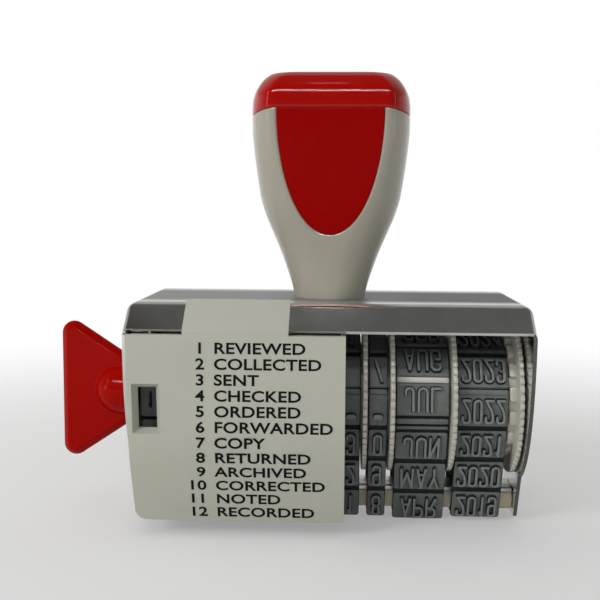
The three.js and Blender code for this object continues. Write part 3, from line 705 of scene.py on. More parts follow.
HANDLE_LEVELS = [
    (0, 0, 0, 0),
    (0.07, 0.074, 0.01, 0.02),
    (0.15, 0.182, 0.03, 0.06),
    (0.25, 0.335, 0.12, 0.17),
    (0.35, 0.515, 0.25, 0.33),
    (0.44, 0.676, 0.42, 0.5),
    (0.53, 0.793, 0.58, 0.66),
    (0.63, 0.865, 0.72, 0.79),
    (0.75, 0.936, 0.86, 0.9),
    (0.88, 0.985, 0.96, 0.98),
    (1, 1, 1, 1),
]
CAP_LEVELS = [
    (0, 1, 1, 1),
    (0.3, 0.997, 0.996, 1),
    (0.44, 0.985, 0.98, 1),
    (0.52, 0.971, 0.952, 1),
    (0.6, 0.95, 0.902, 1),
    (0.66, 0.93, 0.856, 1),
    (0.74, 0.9, 0.79, 0.98),
    (0.87, 0.83, 0.65, 0.94),
    (0.96, 0.75, 0.47, 0.88),
    (1, 0.66, 0.28, 0.8),
]

FLAT_SHARES = (0.97, 0.6, 0.2, -0.2, -0.6, -0.97)
QUARTER_STEPS = 22
SHIELD_COLUMNS = 20
SHIELD_ROWS = 44


def handle_ring(z, half_width, half_depth, flat):
    """A level of the handle: flat front and back between two half-ellipses."""
    quarter = []
    for step in range(QUARTER_STEPS + 1):
        turn = math.pi / 2 * step / QUARTER_STEPS
        quarter.append((flat + (half_width - flat) * math.cos(turn), half_depth * math.sin(turn)))
    level = [(flat * share, half_depth) for share in FLAT_SHARES]
    half = quarter + level + [(-x, y) for x, y in reversed(quarter)]
    return [(x, y, z) for x, y in half] + [(x, -y, z) for x, y in reversed(half)]


def handle_size(z):
    """Half width, half depth and half flat of the handle at a height."""
    share = min(1, max(0, (z - ROOF_TOP) / (SEAM - ROOF_TOP)))
    _, width, depth, flat = blended(HANDLE_LEVELS, [share])[0]
    return (NECK_RADIUS + (HANDLE_HALF_WIDTH - NECK_RADIUS) * width,
            NECK_RADIUS + (HANDLE_HALF_DEPTH - NECK_RADIUS) * depth, HANDLE_FLAT * flat)


def handle_front(x, z):
    """Depth of the handle's front face at a place."""
    half_width, half_depth, flat = handle_size(z)
    beyond = max(0, abs(x) - flat) / (half_width - flat)
    return -half_depth * math.sqrt(max(0, 1 - beyond ** 2))


def shield_edge(share, growth):
    """Half width and height of the shield outline, from its top corner (0) to its tip (1)."""
    top, tip, half = SEAM + growth, PLAQUE_TIP - growth, PLAQUE_HALF_WIDTH + growth
    fall = (SEAM - PLAQUE_TIP) * PLAQUE_SHOULDER_SHARE
    weights = ((1 - share) ** 3, 3 * share * (1 - share) ** 2, 3 * share ** 2 * (1 - share), share ** 3)
    widths = (half, half, half * PLAQUE_CHIN_SHARE, 0)
    heights = (top, top - fall, tip, tip)
    return sum(map(math.prod, zip(weights, widths))), sum(map(math.prod, zip(weights, heights)))


def shield(name, profile, side):
    """A closed shield that follows the handle's face, through (growth, depth) pairs from front to back."""
    columns, rows = SHIELD_COLUMNS, SHIELD_ROWS

    def corner(growth, depth, column, row):
        half, z = shield_edge(row / rows, growth)
        x = half * (2 * column / columns - 1)
        return (x, -side * (handle_front(x, z) + depth), z)

    grid = [(column, row) for row in range(rows + 1) for column in range(columns + 1)]
    border = [(column, 0) for column in range(columns)] + [(columns, row) for row in range(rows)]
    border += [(columns, rows)] + [(0, row) for row in range(rows - 1, 0, -1)]
    corners, faces, levels = [], [], []
    for growth, depth in (profile[0], profile[-1]):
        start = len(corners)
        for row in range(rows):
            for column in range(columns):
                base = start + row * (columns + 1) + column
                face = (base, base + 1, base + columns + 2, base + columns + 1)
                faces.append(face[::-1] if start else face)
        corners += [corner(growth, depth, *place) for place in grid]
    for growth, depth in profile:
        levels.append(list(range(len(corners), len(corners) + len(border))))
        corners += [corner(growth, depth, *place) for place in border]
    for first, second in zip(levels, levels[1:]):
        faces += ring_faces(first, second)
    return mesh_object(name, corners, faces)


def dipped(obj):
    """Lowers the seam between body and cap towards the handle's round sides."""
    for corner in obj.data.vertices:
        beyond = max(0, abs(corner.co.x) / MM - HANDLE_FLAT) / (HANDLE_HALF_WIDTH - HANDLE_FLAT)
        away = (corner.co.z / MM - SEAM) / (CAP_TOP - SEAM)
        corner.co.z -= SEAM_DIP * min(1, beyond) ** 1.5 * max(0, 1 - away ** 2) * MM
    return obj


def make_handle_body():
    heights = [ROOF_TOP + (SEAM - ROOF_TOP) * step / 46 for step in range(46)]
    rings = [handle_ring(z, *handle_size(z)) for z in heights]
    half_width, half_depth, flat = handle_size(SEAM)
    for drop, inward in ((0.35, 0), (0.12, 0.06), (0, 0.22)):
        rings.append(handle_ring(SEAM - drop, half_width - inward, half_depth - inward, flat))
    body = dipped(lofted("handle_body_moulding", rings))
    flare = [(0.95, -2), (0.7, -0.2), (0.5, -0.01), (0.26, 0.05), (0.1, 0.14), (0.03, 0.26), (0.03, 1.35)]
    cutters = [shield("recess", flare, side) for side in (-1, 1)]
    cutters.append(box("spigot_socket", (-6.2, -3.6, SEAM - 3.2), (6.2, 3.6, SEAM + 3)))
    cutters.append(upright("screw_bore", AXLE_RADIUS + CLEARANCE, ROOF_TOP - 1, ROOF_TOP + 15))
    pegs = [upright("peg", PEG_RADIUS, ROOF_TOP - SHEET, ROOF_TOP + 1, side * LOCATING_OFFSET)
            for side in (-1, 1)]
    body = joined(cut(body, *cutters), *pegs)
    return finished(body, [IVORY], "root", "handle_body", 30)


def make_plaque(name, side, node):
    rounded = [(-0.2, 0.05), (-0.08, 0.06), (-0.02, 0.1), (0, 0.17), (0, PLAQUE_THICKNESS)]
    return finished(shield(name, rounded, side), [PLAQUE_RED], "root", node, 40)


def make_handle_cap():
    rings = []
    for rise, inward in ((0, 0.28), (0.1, 0.1)):
        rings.append(handle_ring(SEAM + rise, HANDLE_HALF_WIDTH - inward, HANDLE_HALF_DEPTH - inward,
                                 HANDLE_FLAT))
    shares = [0.05 + 0.95 * step / 44 for step in range(45)]
    for share, width, depth, flat in blended(CAP_LEVELS, shares):
        rings.append(handle_ring(SEAM + (CAP_TOP - SEAM) * share, HANDLE_HALF_WIDTH * width,
                                 HANDLE_HALF_DEPTH * depth, HANDLE_FLAT * flat * width))
    _, width, depth, flat = CAP_LEVELS[-1]
    for inward, rise in ((0.8, 0.02), (0.55, 0.04), (0.25, 0.05)):
        rings.append(handle_ring(CAP_TOP + rise, HANDLE_HALF_WIDTH * width * inward,
                                 HANDLE_HALF_DEPTH * depth * inward, HANDLE_FLAT * flat * width * inward))
    cap = dipped(lofted("handle_cap_moulding", rings))
    cap = joined(cap, box("spigot", (-6, -3.4, SEAM - 3), (6, 3.4, SEAM + 0.5)))
    return finished(cap, [CAP_RED], "root", "handle_cap", 34)


def make_screw():
    """The handle's screw with its cross slot, and the washer under the roof."""
    under = ROOF_TOP - SHEET
    washer_face = under - 0.5
    washer = prism("handle_washer", ring_of(3.6, 64), washer_face, under, axis="z")
    washer = cut(washer, upright("washer_bore", 1.6, washer_face - 1, under + 1))
    finished(eased(washer, 0.1), [STEEL], "root", "handle_screw_washer")
    rings = []
    for radius, z in ((2.2, -1.9), (2.7, -1.75), (3.0, -1.4), (3.1, -1.0), (3.1, -0.12), (3.0, 0)):
        rings.append([(x, y, washer_face + z) for x, y in ring_of(radius, 64)])
    head = lofted("handle_screw_turned", rings)
    head = joined(head, upright("shank", AXLE_RADIUS, washer_face - 1, ROOF_TOP + 14))
    for turn in (0, math.pi / 2):
        slot = box("slot", (-1.7, -0.28, washer_face - 3), (1.7, 0.28, washer_face - 0.9))
        slot.data.transform(Matrix.Rotation(turn, 4, "Z"))
        head = cut(head, slot)
    return finished(head, [STEEL], "root", "handle_screw")


# Phrase knob

WING_HALF_HEIGHT = 11.85
WING_ROOT_HALF_HEIGHT = 3.6
WING_CORNER = 2.1
WING_EDGE = [(-1.35, 1.5), (-1.15, 1.47), (-1.0, 1.39), (-0.3, 0.76), (-0.1, 0.5), (0, 0.15)]
KNOB_FACE = -HALF_WIDTH - 0.25
KNOB_HUB_RADIUS = 4.45
KNOB_HUB_REACH = 8.4
TONGUE_HALF = 3
TONGUE_LENGTH = 7
KNOB_VOXEL = 0.16

def wing_outline(growth):
    """The wing's outline, grown or drawn in: its root on the cheek's side and two rounded corners."""
    tip = KNOB_TIP - growth
    top, root = WING_HALF_HEIGHT + growth, WING_ROOT_HALF_HEIGHT + growth
    radius = WING_CORNER + growth
    fall = math.atan2(top - root, KNOB_FACE - tip - radius)
    corner = arc((tip + radius, top - radius), radius, math.pi / 2 - fall, math.pi, 10)
    points = [(KNOB_FACE + 1, root), *corner]
    return points + [(x, -z) for x, z in reversed(points)]


def make_knob():
    """The knob: wing and dome melted into one moulding, then its shaft and square tongue."""
    levels = [(growth, -depth) for growth, depth in WING_EDGE]
    levels += [(growth, depth) for growth, depth in reversed(WING_EDGE)]
    wing = lofted("phrase_knob_moulding", [[(x, y, AXLE_HEIGHT + z) for x, z in wing_outline(growth)]
                                           for growth, y in levels])
    pole = KNOB_FACE - KNOB_HUB_REACH
    dome = arc((0, pole + KNOB_HUB_RADIUS), KNOB_HUB_RADIUS, -math.pi / 2, 0, 16)[1:]
    dome = [(0, pole), *dome, (KNOB_HUB_RADIUS, KNOB_FACE + 0.8), (0, KNOB_FACE + 0.8)]
    knob = joined(wing, turned("dome", dome, 64))
    knob = cut(knob, box("beyond_face", (KNOB_FACE, -20, 0), (KNOB_FACE + 5, 20, 60)))
    knob = modified(knob, "REMESH", mode="VOXEL", voxel_size=KNOB_VOXEL * MM, adaptivity=0)
    knob = modified(knob, "SMOOTH", factor=0.5, iterations=5)
    inner = DRUM_LEFT - 0.2
    shaft = bar("shaft", KNOB_SHAFT_RADIUS, KNOB_FACE - 1, inner)
    tongue = box("tongue", (inner - 0.5, -TONGUE_HALF, AXLE_HEIGHT - TONGUE_HALF),
                 (DRUM_LEFT + TONGUE_LENGTH, TONGUE_HALF, AXLE_HEIGHT + TONGUE_HALF))
    knob = joined(knob, shaft, tongue)
    knob = cut(knob, bar("bore", AXLE_RADIUS + AXLE_GAP, KNOB_FACE - 2, 0))
    return finished(knob, [KNOB_RED], "phrase_dial", "phrase_knob", 55)


# Phrase index cover

COVER_EDGE = 0.28
COVER_CORNER = 1.8
COVER_SIDE_WALL = 0.8
COVER_FLANGE = 2.2
COVER_STAND = 0.3
TAB_LEFT = COVER_LOW.x + 8.9
TAB_RIGHT = TAB_LEFT + 16.4
TAB_THICKNESS = 0.65
TAB_SEAT = 0.2
HOOK_WIDTH = 3
HOOK_INSET = 1.5
HOOK_REACH = 2.0
HOOK_DROP = 1.6
WINDOW_CENTRE = COVER_LOW.x + 2.95
WINDOW_HEIGHT_CENTRE = AXLE_HEIGHT + 0.42
WINDOW_WIDTH = 2.9
WINDOW_HEIGHT = 6.4
WINDOW_BEVEL = 0.75
PRINT_PROUD = 0.03
PRINT_FIRST_ROW = 30.31
PRINT_ROW_PITCH = 2.48
PRINT_CAPITAL = 1.75
CAPITAL_SHARE = 0.729
PRINT_WIDENING = 1.22
PRINT_BOLDNESS = 0.055
PRINT_NUMBER_RIGHT = -18.9
PRINT_WORD_LEFT = -17.5
PHRASES = ("REVIEWED", "COLLECTED", "SENT", "CHECKED", "ORDERED", "FORWARDED", "COPY", "RETURNED",
           "ARCHIVED", "CORRECTED", "NOTED", "RECORDED")


def cover_line(travel, depth=0.0):
    """A point (y, z) down the cover's front, and its lean, at a travel from the top edge."""
    radius = COVER_BEND_RADIUS - depth
    lean = min(max(travel - COVER_STRAIGHT, 0) / COVER_BEND_RADIUS, COVER_LEAN)
    y = COVER_FRONT + COVER_BEND_RADIUS - radius * math.cos(lean)
    z = COVER_BEND_HEIGHT - radius * math.sin(lean) + max(COVER_STRAIGHT - travel, 0)
    past = max(travel - COVER_STRAIGHT - COVER_BEND_RUN, 0)
    return y + past * math.sin(COVER_LEAN), z - past * math.cos(COVER_LEAN), lean


def cover_face(depth):
    """Points (y, z) down the cover, at a depth behind its front face."""
    points = [(COVER_FRONT + depth, COVER_TOP)]
    for step in range(15):
        points.append(cover_line(COVER_STRAIGHT + COVER_BEND_RUN * step / 14, depth)[:2])
    y, z = points[-1]
    return points + [(y + (z - COVER_BOTTOM) * math.tan(COVER_LEAN), COVER_BOTTOM)]


def make_cover_tab():
    """The tab that lies on the frame's slope, folded down in front of the lip."""
    run = Vector((LIP_HALF_DEPTH - ROOF_HALF_DEPTH, ROOF_TOP - LIP_HEIGHT)).normalized()
    out = Vector((-run.y, run.x))
    foot = Vector((-LIP_HALF_DEPTH, LIP_HEIGHT)) + out * TAB_SEAT
    top = Vector((-ROOF_HALF_DEPTH, ROOF_TOP))
    outer = top + out * (TAB_SEAT + TAB_THICKNESS)
    fold = outer.y - (outer.x - COVER_FRONT) * run.y / run.x
    root = COVER_TOP - HOOK_DROP
    outline = [(COVER_FRONT, root), (COVER_FRONT, fold), tuple(outer), tuple(top + out * TAB_SEAT),
               tuple(foot), (foot.x, root)]
    return prism("tab", outline, TAB_LEFT, TAB_RIGHT)


def make_cover_hook(left):
    back = COVER_FRONT + COVER_THICKNESS
    tip = back + COVER_STAND + HOOK_REACH
    root, nose = COVER_TOP - HOOK_DROP, COVER_TOP + 0.9
    outline = [(back - 0.2, root), (tip, root), (tip, nose), (tip - 1.1, nose), (tip - 2.0, COVER_TOP),
               (back - 0.2, COVER_TOP)]
    return prism("hook", outline, left, left + HOOK_WIDTH)


def make_window_cutter():
    rings = []
    for depth, grow in ((-0.2, WINDOW_BEVEL * (1 + 0.2 / COVER_THICKNESS)), (COVER_THICKNESS, 0),
                        (COVER_THICKNESS + 5, 0)):
        half_width, half_height = WINDOW_WIDTH / 2 + grow, WINDOW_HEIGHT / 2 + grow
        rings.append([(WINDOW_CENTRE + x, COVER_FRONT + depth, WINDOW_HEIGHT_CENTRE + z)
                      for x, z in rectangle((-half_width, -half_height), (half_width, half_height))])
    return lofted("window", rings)


def make_cover():
    """The index cover: plate, side wall, flange, tab and hooks, with its window and tapered side."""
    inside = cover_face(COVER_THICKNESS - 0.2)
    left, right = COVER_LOW.x, COVER_HIGH.x
    plate = prism("phrase_cover_moulding", cover_face(0) + cover_face(COVER_THICKNESS)[::-1], left, right)
    wall = prism("wall", inside + [(0, COVER_BOTTOM), (0, COVER_TOP)], left, left + COVER_SIDE_WALL)
    flange = prism("flange", inside + cover_face(COVER_THICKNESS + COVER_FLANGE)[::-1],
                   right - COVER_SIDE_WALL, right)
    cheek = [(LIP_HALF_DEPTH + COVER_STAND, ROOF_TOP)]
    cheek += [(depth + COVER_STAND, height) for depth, height in cheek_edge()]
    cheek += [(CHEEK_TOE[0] + COVER_STAND, -5)]
    cheek += [(-y, z) for y, z in reversed(cheek)]
    cover = cut(joined(plate, wall, flange), prism("cheek_room", cheek, left - 5, left + COVER_SIDE_WALL))
    cover = joined(cover, make_cover_tab(), make_cover_hook(TAB_LEFT + HOOK_INSET),
                   make_cover_hook(TAB_RIGHT - HOOK_INSET - HOOK_WIDTH))
    corner = arc((left + COVER_CORNER, COVER_BOTTOM + COVER_CORNER), COVER_CORNER, math.pi,
                 math.pi * 1.5, 12)
    outline = [(left, ROOF_TOP + 5), *corner, (right, COVER_BOTTOM), (right, ROOF_TOP + 5)]
    cover = cut(cover, prism("corners", outline, -30, 5, axis="y"), operation="INTERSECT")
    cover = eased(cut(cover, make_window_cutter()), COVER_EDGE, 3, 35)
    for point in cover.data.vertices:
        fall = max(0, (COVER_TOP - point.co.z / MM) / (COVER_TOP - COVER_BOTTOM))
        reach = (right - point.co.x / MM) / (right - left)
        point.co.x += COVER_TAPER * fall * reach * MM
    return finished(cover, [COVER_GREY], "root", "phrase_cover", 34, True)


def printed(words, align, x, travel):
    """A line of print as a thin plate, laid on the cover at a travel down its front."""
    curve = bpy.data.curves.new("print", "FONT")
    settings = {"body": words, "align_x": align, "size": PRINT_CAPITAL / CAPITAL_SHARE * MM,
                "offset": PRINT_BOLDNESS * MM, "extrude": PRINT_PROUD / 2 * MM, "resolution_u": 4,
                "space_character": 1.03}
    for name, value in settings.items():
        setattr(curve, name, value)
    obj = baked(linked("print", curve))
    y, z, lean = cover_line(travel)
    place = Matrix.Translation(Vector((x, y, z)) * MM) @ Matrix.Rotation(math.pi / 2 + lean, 4, "X")
    widened = Matrix.Diagonal((PRINT_WIDENING, 1, 1, 1))
    obj.data.transform(place @ Matrix.Translation((0, 0, PRINT_PROUD / 2 * MM)) @ widened)
    return obj


def make_cover_print():
    rows = []
    for index, words in enumerate(PHRASES):
        travel = COVER_TOP - PRINT_FIRST_ROW + PRINT_ROW_PITCH * index
        rows.append(printed(str(index + 1), "RIGHT", PRINT_NUMBER_RIGHT, travel))
        rows.append(printed(words, "LEFT", PRINT_WORD_LEFT, travel))
    sheet = gathered("cover_print", [(row.data, Matrix()) for row in rows])
    for row in rows:
        bpy.data.objects.remove(row)
    return finished(sheet, [PRINT_BLACK], "root", smooth=20)


# Raised type

TYPE_HEIGHT = 4.1
TYPE_WIDTH = 1.5
TYPE_STROKE = 0.4
TYPE_SLOPE = 0.15
TYPE_SUNK = 0.12
TYPE_EDGE = 0.05
CAP_STEPS = 6

# Strokes of each character on a grid of ten by ten; a stroke that starts with o is a closed loop
STROKES = {
    "0": "o 0,0 10,0 10,10 0,10",
    "1": "2,8 6,10 | 6,10 6,0",
    "2": "0,7.5 0,10 10,10 10,5.4 0,0 | 0,0 10,0",
    "3": "0,8 0,10 10,10 10,5.3 4.5,5.3 | 4.5,5.3 10,5.3 10,0 0,0 0,2",
    "4": "7.4,0 7.4,10 | 7.4,10 0,2.7 | 0,2.7 10,2.7",
    "5": "9.4,10 0.8,10 | 0.8,10 0.5,5 | 0.5,5 2,6.2 10,6.2 10,0 0,0 0,2",
    "6": "o 0,0 10,0 10,5.8 0,5.8 | 0,3.4 0,10 10,10 10,8",
    "7": "0,10 10,10 | 10,10 3.4,0",
    "8": "o 0,0 10,0 10,5.3 0,5.3 | o 0.4,5.3 9.6,5.3 9.6,10 0.4,10",
    "9": "o 0,4.2 10,4.2 10,10 0,10 | 10,6.6 10,0 0,0 0,2",
    "/": "0.4,0 9.6,10",
    "-": "1.6,7.7 8.4,7.7",
    "A": "0,0 5,10 | 5,10 10,0 | 1.8,3 8.2,3",
    "B": "0,0 0,10 | 0,10 9.2,10 9.2,5.4 0,5.4 | 0,5.4 10,5.4 10,0 0,0",
    "C": "10,7.4 10,10 0,10 0,0 10,0 10,2.6",
    "D": "0,0 0,10 | 0,10 10,10 10,0 0,0",
    "E": "9.4,10 0,10 | 0,10 0,0 | 0,0 9.4,0 | 0,5.2 8.4,5.2",
    "F": "9.4,10 0,10 | 0,10 0,0 | 0,5.2 8.4,5.2",
    "G": "10,7.6 10,10 0,10 0,0 10,0 10,4.6 | 10,4.6 5.8,4.6",
    "H": "0,0 0,10 | 10,0 10,10 | 0,5.2 10,5.2",
    "I": "5,0 5,10",
    "J": "9,10 9,0 0,0 0,2.8",
    "K": "0,0 0,10 | 0,3.6 9.6,10 | 3.4,5.8 10,0",
    "L": "0,10 0,0 | 0,0 9.6,0",
    "M": "0,0 0.6,10 | 0.6,10 5,2 | 5,2 9.4,10 | 9.4,10 10,0",
    "N": "0,0 0,10 | 0,10 10,0 | 10,0 10,10",
    "O": "o 0,0 10,0 10,10 0,10",
    "P": "0,0 0,10 | 0,10 10,10 10,4.8 0,4.8",
    "R": "0,0 0,10 | 0,10 10,10 10,5 0,5 | 5.4,5 10,0",
    "S": "10,7.8 10,10 0,10 0,5.3 10,5.3 10,0 0,0 0,2.2",
    "T": "0,10 10,10 | 5,10 5,0",
    "U": "0,10 0,0 10,0 10,10",
    "V": "0,10 5,0 | 5,0 10,10",
    "W": "0,10 2.4,0 | 2.4,0 5,8 | 5,8 7.6,0 | 7.6,0 10,10",
    "Y": "0,10 5,4.6 | 5,4.6 10,10 | 5,4.6 5,0",
}
WIDE = {"M": 1.3, "W": 1.45, "I": 0.4, "1": 0.8}
BOLD = {"-": 2.1}


def rounded_line(points, radius, closed=False, steps=5):
    """A line with its corners rounded, as far as its sides allow."""
    count = len(points)
    corners = range(count) if closed else range(1, count - 1)
    line = [] if closed else [Vector(points[0])]
    for index in corners:
        before, here, after = (Vector(points[(index + step) % count]) for step in (-1, 0, 1))
        towards, away = before - here, after - here
        reach = min(radius, towards.length * 0.49, away.length * 0.49)
        start, end = here + towards.normalized() * reach, here + away.normalized() * reach
        pull = 0.5523
        for step in range(steps + 1):
            share = step / steps
            rest = 1 - share
            line.append(start * rest ** 3 + (start + (here - start) * pull) * 3 * share * rest ** 2
                        + (end + (here - end) * pull) * 3 * share ** 2 * rest + end * share ** 3)
    if not closed:
        line.append(Vector(points[-1]))
    thinned = [line[0]]
    for point in line[1:]:
        if (point - thinned[-1]).length > 1e-4:
            thinned.append(point)
    if closed and (thinned[0] - thinned[-1]).length < 1e-4:
        thinned.pop()
    return thinned


def sides_of(line, closed):
    """Sideways direction at each point of a line."""
    count = len(line)
    sideways = []
    for index in range(count):
        before = line[index - 1] if closed or index else line[index]
        after = line[(index + 1) % count] if closed or index < count - 1 else line[index]
        along = (after - before).normalized()
        sideways.append(Vector((-along.y, along.x)))
    return sideways


def stroke_ring(line, sideways, half):
    """Outline of an open stroke with round ends."""
    left = [point + side * half for point, side in zip(line, sideways)]
    right = [point - side * half for point, side in zip(line, sideways)]

    def cap(centre, side, towards):
        points = []
        for step in range(1, CAP_STEPS):
            turn = math.pi * step / CAP_STEPS
            points.append(centre + side * half * math.cos(turn) + towards * half * math.sin(turn))
        return points

    last = sideways[-1]
    first = sideways[0]
    end_cap = cap(line[-1], last, Vector((last.y, -last.x)))
    start_cap = cap(line[0], -first, Vector((-first.y, first.x)))
    return left + end_cap + right[::-1] + start_cap


def stroke_solid(line, closed, half):
    """A raised stroke: its sides slope, and its top edge is rounded."""
    levels = [(half + TYPE_SLOPE, -TYPE_SUNK), (half, TYPE_RELIEF - TYPE_EDGE),
              (half - TYPE_EDGE, TYPE_RELIEF)]
    sideways = sides_of(line, closed)
    if not closed:
        return lofted("stroke", [[(*point, w) for point in stroke_ring(line, sideways, grow)]
                                 for grow, w in levels])
    section = levels + [(-grow, w) for grow, w in reversed(levels)]
    rings = [[(*(point + side * grow), w) for grow, w in section] for point, side in zip(line, sideways)]
    return lofted("stroke", rings, looped=True)


# Places of a band's finishes among its materials
# TOP is a lighter copy of the rubber that paints light; SHADED is a dark copy that paints shade, with ink
BAND_FINISHES = [BAND_RUBBER, LIT_TYPE_RUBBER, INK_AND_SHADE_RUBBER, DIAL_WHITE]
FACE, TOP, SHADED, PALE = range(4)

TYPE_GAP = 0.34
TYPE_CASE = {}


def type_mesh(character, width, height):
    """Raised character about its own centre: its lines run across X and Y, its face looks along Z."""
    half = TYPE_STROKE / 2 * BOLD.get(character, 1) * height / TYPE_HEIGHT
    solids = []
    for stroke in STROKES[character].split(" | "):
        closed = stroke.startswith("o ")
        points = []
        for spot in stroke.removeprefix("o ").split():
            u, v = (float(share) / 10 - 0.5 for share in spot.split(","))
            points.append((u * (width - TYPE_STROKE), v * (height - TYPE_STROKE)))
        solids.append(stroke_solid(rounded_line(points, width / 2, closed), closed, half))
    piece = joined(*solids)
    mesh = piece.data
    # Full-size type gets the lighter rubber on its top as painted light; its sides, and all of the small
    # window digits, get the dark rubber
    for face in mesh.polygons:
        raised = height == TYPE_HEIGHT and face.center.z > (TYPE_RELIEF - 2 * TYPE_EDGE) * MM
        face.material_index = TOP if raised else SHADED
    bpy.data.objects.remove(piece)
    return mesh


def typeset(words, x, size, stretch):
    """Raised words about a centre: (mesh, matrix) pairs in a block's own directions."""
    widths = [TYPE_WIDTH * stretch * size * WIDE.get(character, 1) for character in words]
    left = x - (sum(widths) + TYPE_GAP * size * (len(words) - 1)) / 2
    pairs = []
    for character, width in zip(words, widths):
        key = (character, round(width, 3), size)
        if key not in TYPE_CASE:
            TYPE_CASE[key] = type_mesh(character, width, TYPE_HEIGHT * size)
        pairs.append((TYPE_CASE[key], Matrix.Translation(Vector((left + width / 2, 0, 0)) * MM)))
        left += width + TYPE_GAP * size
    return pairs


def gathered(name, pairs):
    """One object from (mesh, matrix) pairs."""
    shape = bmesh.new()
    for mesh, matrix in pairs:
        part = mesh.copy()
        part.transform(matrix)
        if matrix.determinant() < 0:
            part.flip_normals()
        shape.from_mesh(part)
        bpy.data.meshes.remove(part)
    return from_bmesh(name, shape)


# Bands

DRUM_CENTRE = Vector((0, AXLE_HEIGHT))
DRUM_PATH = DRUM_RADIUS + DRUM_TO_BAND + CARRIER
CORNER_CENTRE = Vector((SHOE_HALF_DEPTH - SHOE_CORNER, SHOE_BOTTOM + SHOE_CORNER))
CORNER_PATH = SHOE_CORNER + SHOE_GAP + CARRIER
CENTRES = CORNER_CENTRE - DRUM_CENTRE
PATH_TILT = math.atan2(CENTRES.x, -CENTRES.y) - math.asin((DRUM_PATH - CORNER_PATH) / CENTRES.length)
FLAT_RUN = CORNER_CENTRE.x
CORNER_RUN = (math.pi / 2 + PATH_TILT) * CORNER_PATH
SIDE_RUN = math.sqrt(CENTRES.length ** 2 - (DRUM_PATH - CORNER_PATH) ** 2)
DRUM_RUN = (math.pi / 2 - PATH_TILT) * DRUM_PATH
HALF_LOOP = FLAT_RUN + CORNER_RUN + SIDE_RUN + DRUM_RUN
BLOCK_PITCH = 2 * HALF_LOOP / BLOCK_COUNT
BLOCK_SUNK = 0.36
BLOCK_TAPER = 0.1
BLOCK_EDGE = 0.12
FACE_MARGIN = BLOCK_EDGE * 1.2
BELT_STEPS = 180


def band_place(travel):
    """A point (y, z) on the carrier's outer face, and the direction in which that face looks."""
    wrapped = travel % (2 * HALF_LOOP)
    side = 1 if wrapped <= HALF_LOOP else -1
    left = wrapped if side > 0 else 2 * HALF_LOOP - wrapped
    if left <= FLAT_RUN:
        return Vector((side * left, CORNER_CENTRE.y - CORNER_PATH)), Vector((0, -1))
    left -= FLAT_RUN
    if left <= CORNER_RUN + SIDE_RUN:
        turn = min(left / CORNER_PATH - math.pi / 2, PATH_TILT)
        out = Vector((math.cos(turn), math.sin(turn)))
        past = max(left - CORNER_RUN, 0)
        point = CORNER_CENTRE + out * CORNER_PATH + Vector((-out.y, out.x)) * past
    else:
        turn = PATH_TILT + (left - CORNER_RUN - SIDE_RUN) / DRUM_PATH
        out = Vector((math.cos(turn), math.sin(turn)))
        point = DRUM_CENTRE + out * DRUM_PATH
    return Vector((side * point.x, point.y)), Vector((side * out.x, out.y))


def belt_path():
    """Carrier path as a closed curve, half a thickness inside its outer face."""
    curve = bpy.data.curves.new("belt_path", "CURVE")
    curve.dimensions = "3D"
    spline = curve.splines.new("POLY")
    spline.points.add(BELT_STEPS - 1)
    for step in range(BELT_STEPS):
        point, out = band_place(2 * HALF_LOOP * step / BELT_STEPS)
        spot = point - out * CARRIER / 2
        spline.points[step].co = (0, spot.x * MM, spot.y * MM, 1)
    spline.use_cyclic_u = True
    return linked("belt_path", curve)


def tapered(name, low, high, levels, corner, steps):
    """A block on a rounded rectangle, drawn in on every side by the inset of each (height, inset) level."""
    rings = []
    for z, inward in levels:
        ring = rounded_line(rectangle(low, high, inward), corner, True, steps)
        rings.append([(x, y, z) for x, y in ring])
    return lofted(name, rings)


def make_block(width, length, rise=BLOCK_BASE):
    """A type block: its foot in the carrier, its sides drawn in towards its face."""
    levels = [(-BLOCK_SUNK, 0), (0, 0)]
    levels += [(rise - BLOCK_EDGE * drop, BLOCK_TAPER + BLOCK_EDGE * inset)
               for drop, inset in ((1, 0), (0.3, 0.3), (0, 1))]
    return tapered("block", (-width / 2, -length / 2), (width / 2, length / 2), levels, 0.3, 3)


def block_turn(travel):
    _, out = band_place(travel)
    return math.atan2(-out.x, out.y)


def laid(travel, rise=0.0, x=0.0):
    """Matrix that lays a piece on the carrier at a travel, at a height above it."""
    point, _ = band_place(travel)
    place = Matrix.Translation(Vector((x, point.x, point.y)) * MM)
    return place @ Matrix.Rotation(block_turn(travel), 4, "X") @ Matrix.Translation((0, 0, rise * MM))


def shade_grooves(mesh):
    """Gives the dark finish, ink with painted shade, to what lies below the blocks' faces."""
    steps = 720
    path = np.array([tuple(band_place(2 * HALF_LOOP * step / steps)[0]) for step in range(steps)])
    for face in mesh.polygons:
        middle = np.array([face.center.y, face.center.z]) / MM
        rise = np.linalg.norm(path - middle, axis=1).min()
        face.material_index = FACE if rise > BLOCK_BASE - FACE_MARGIN else SHADED


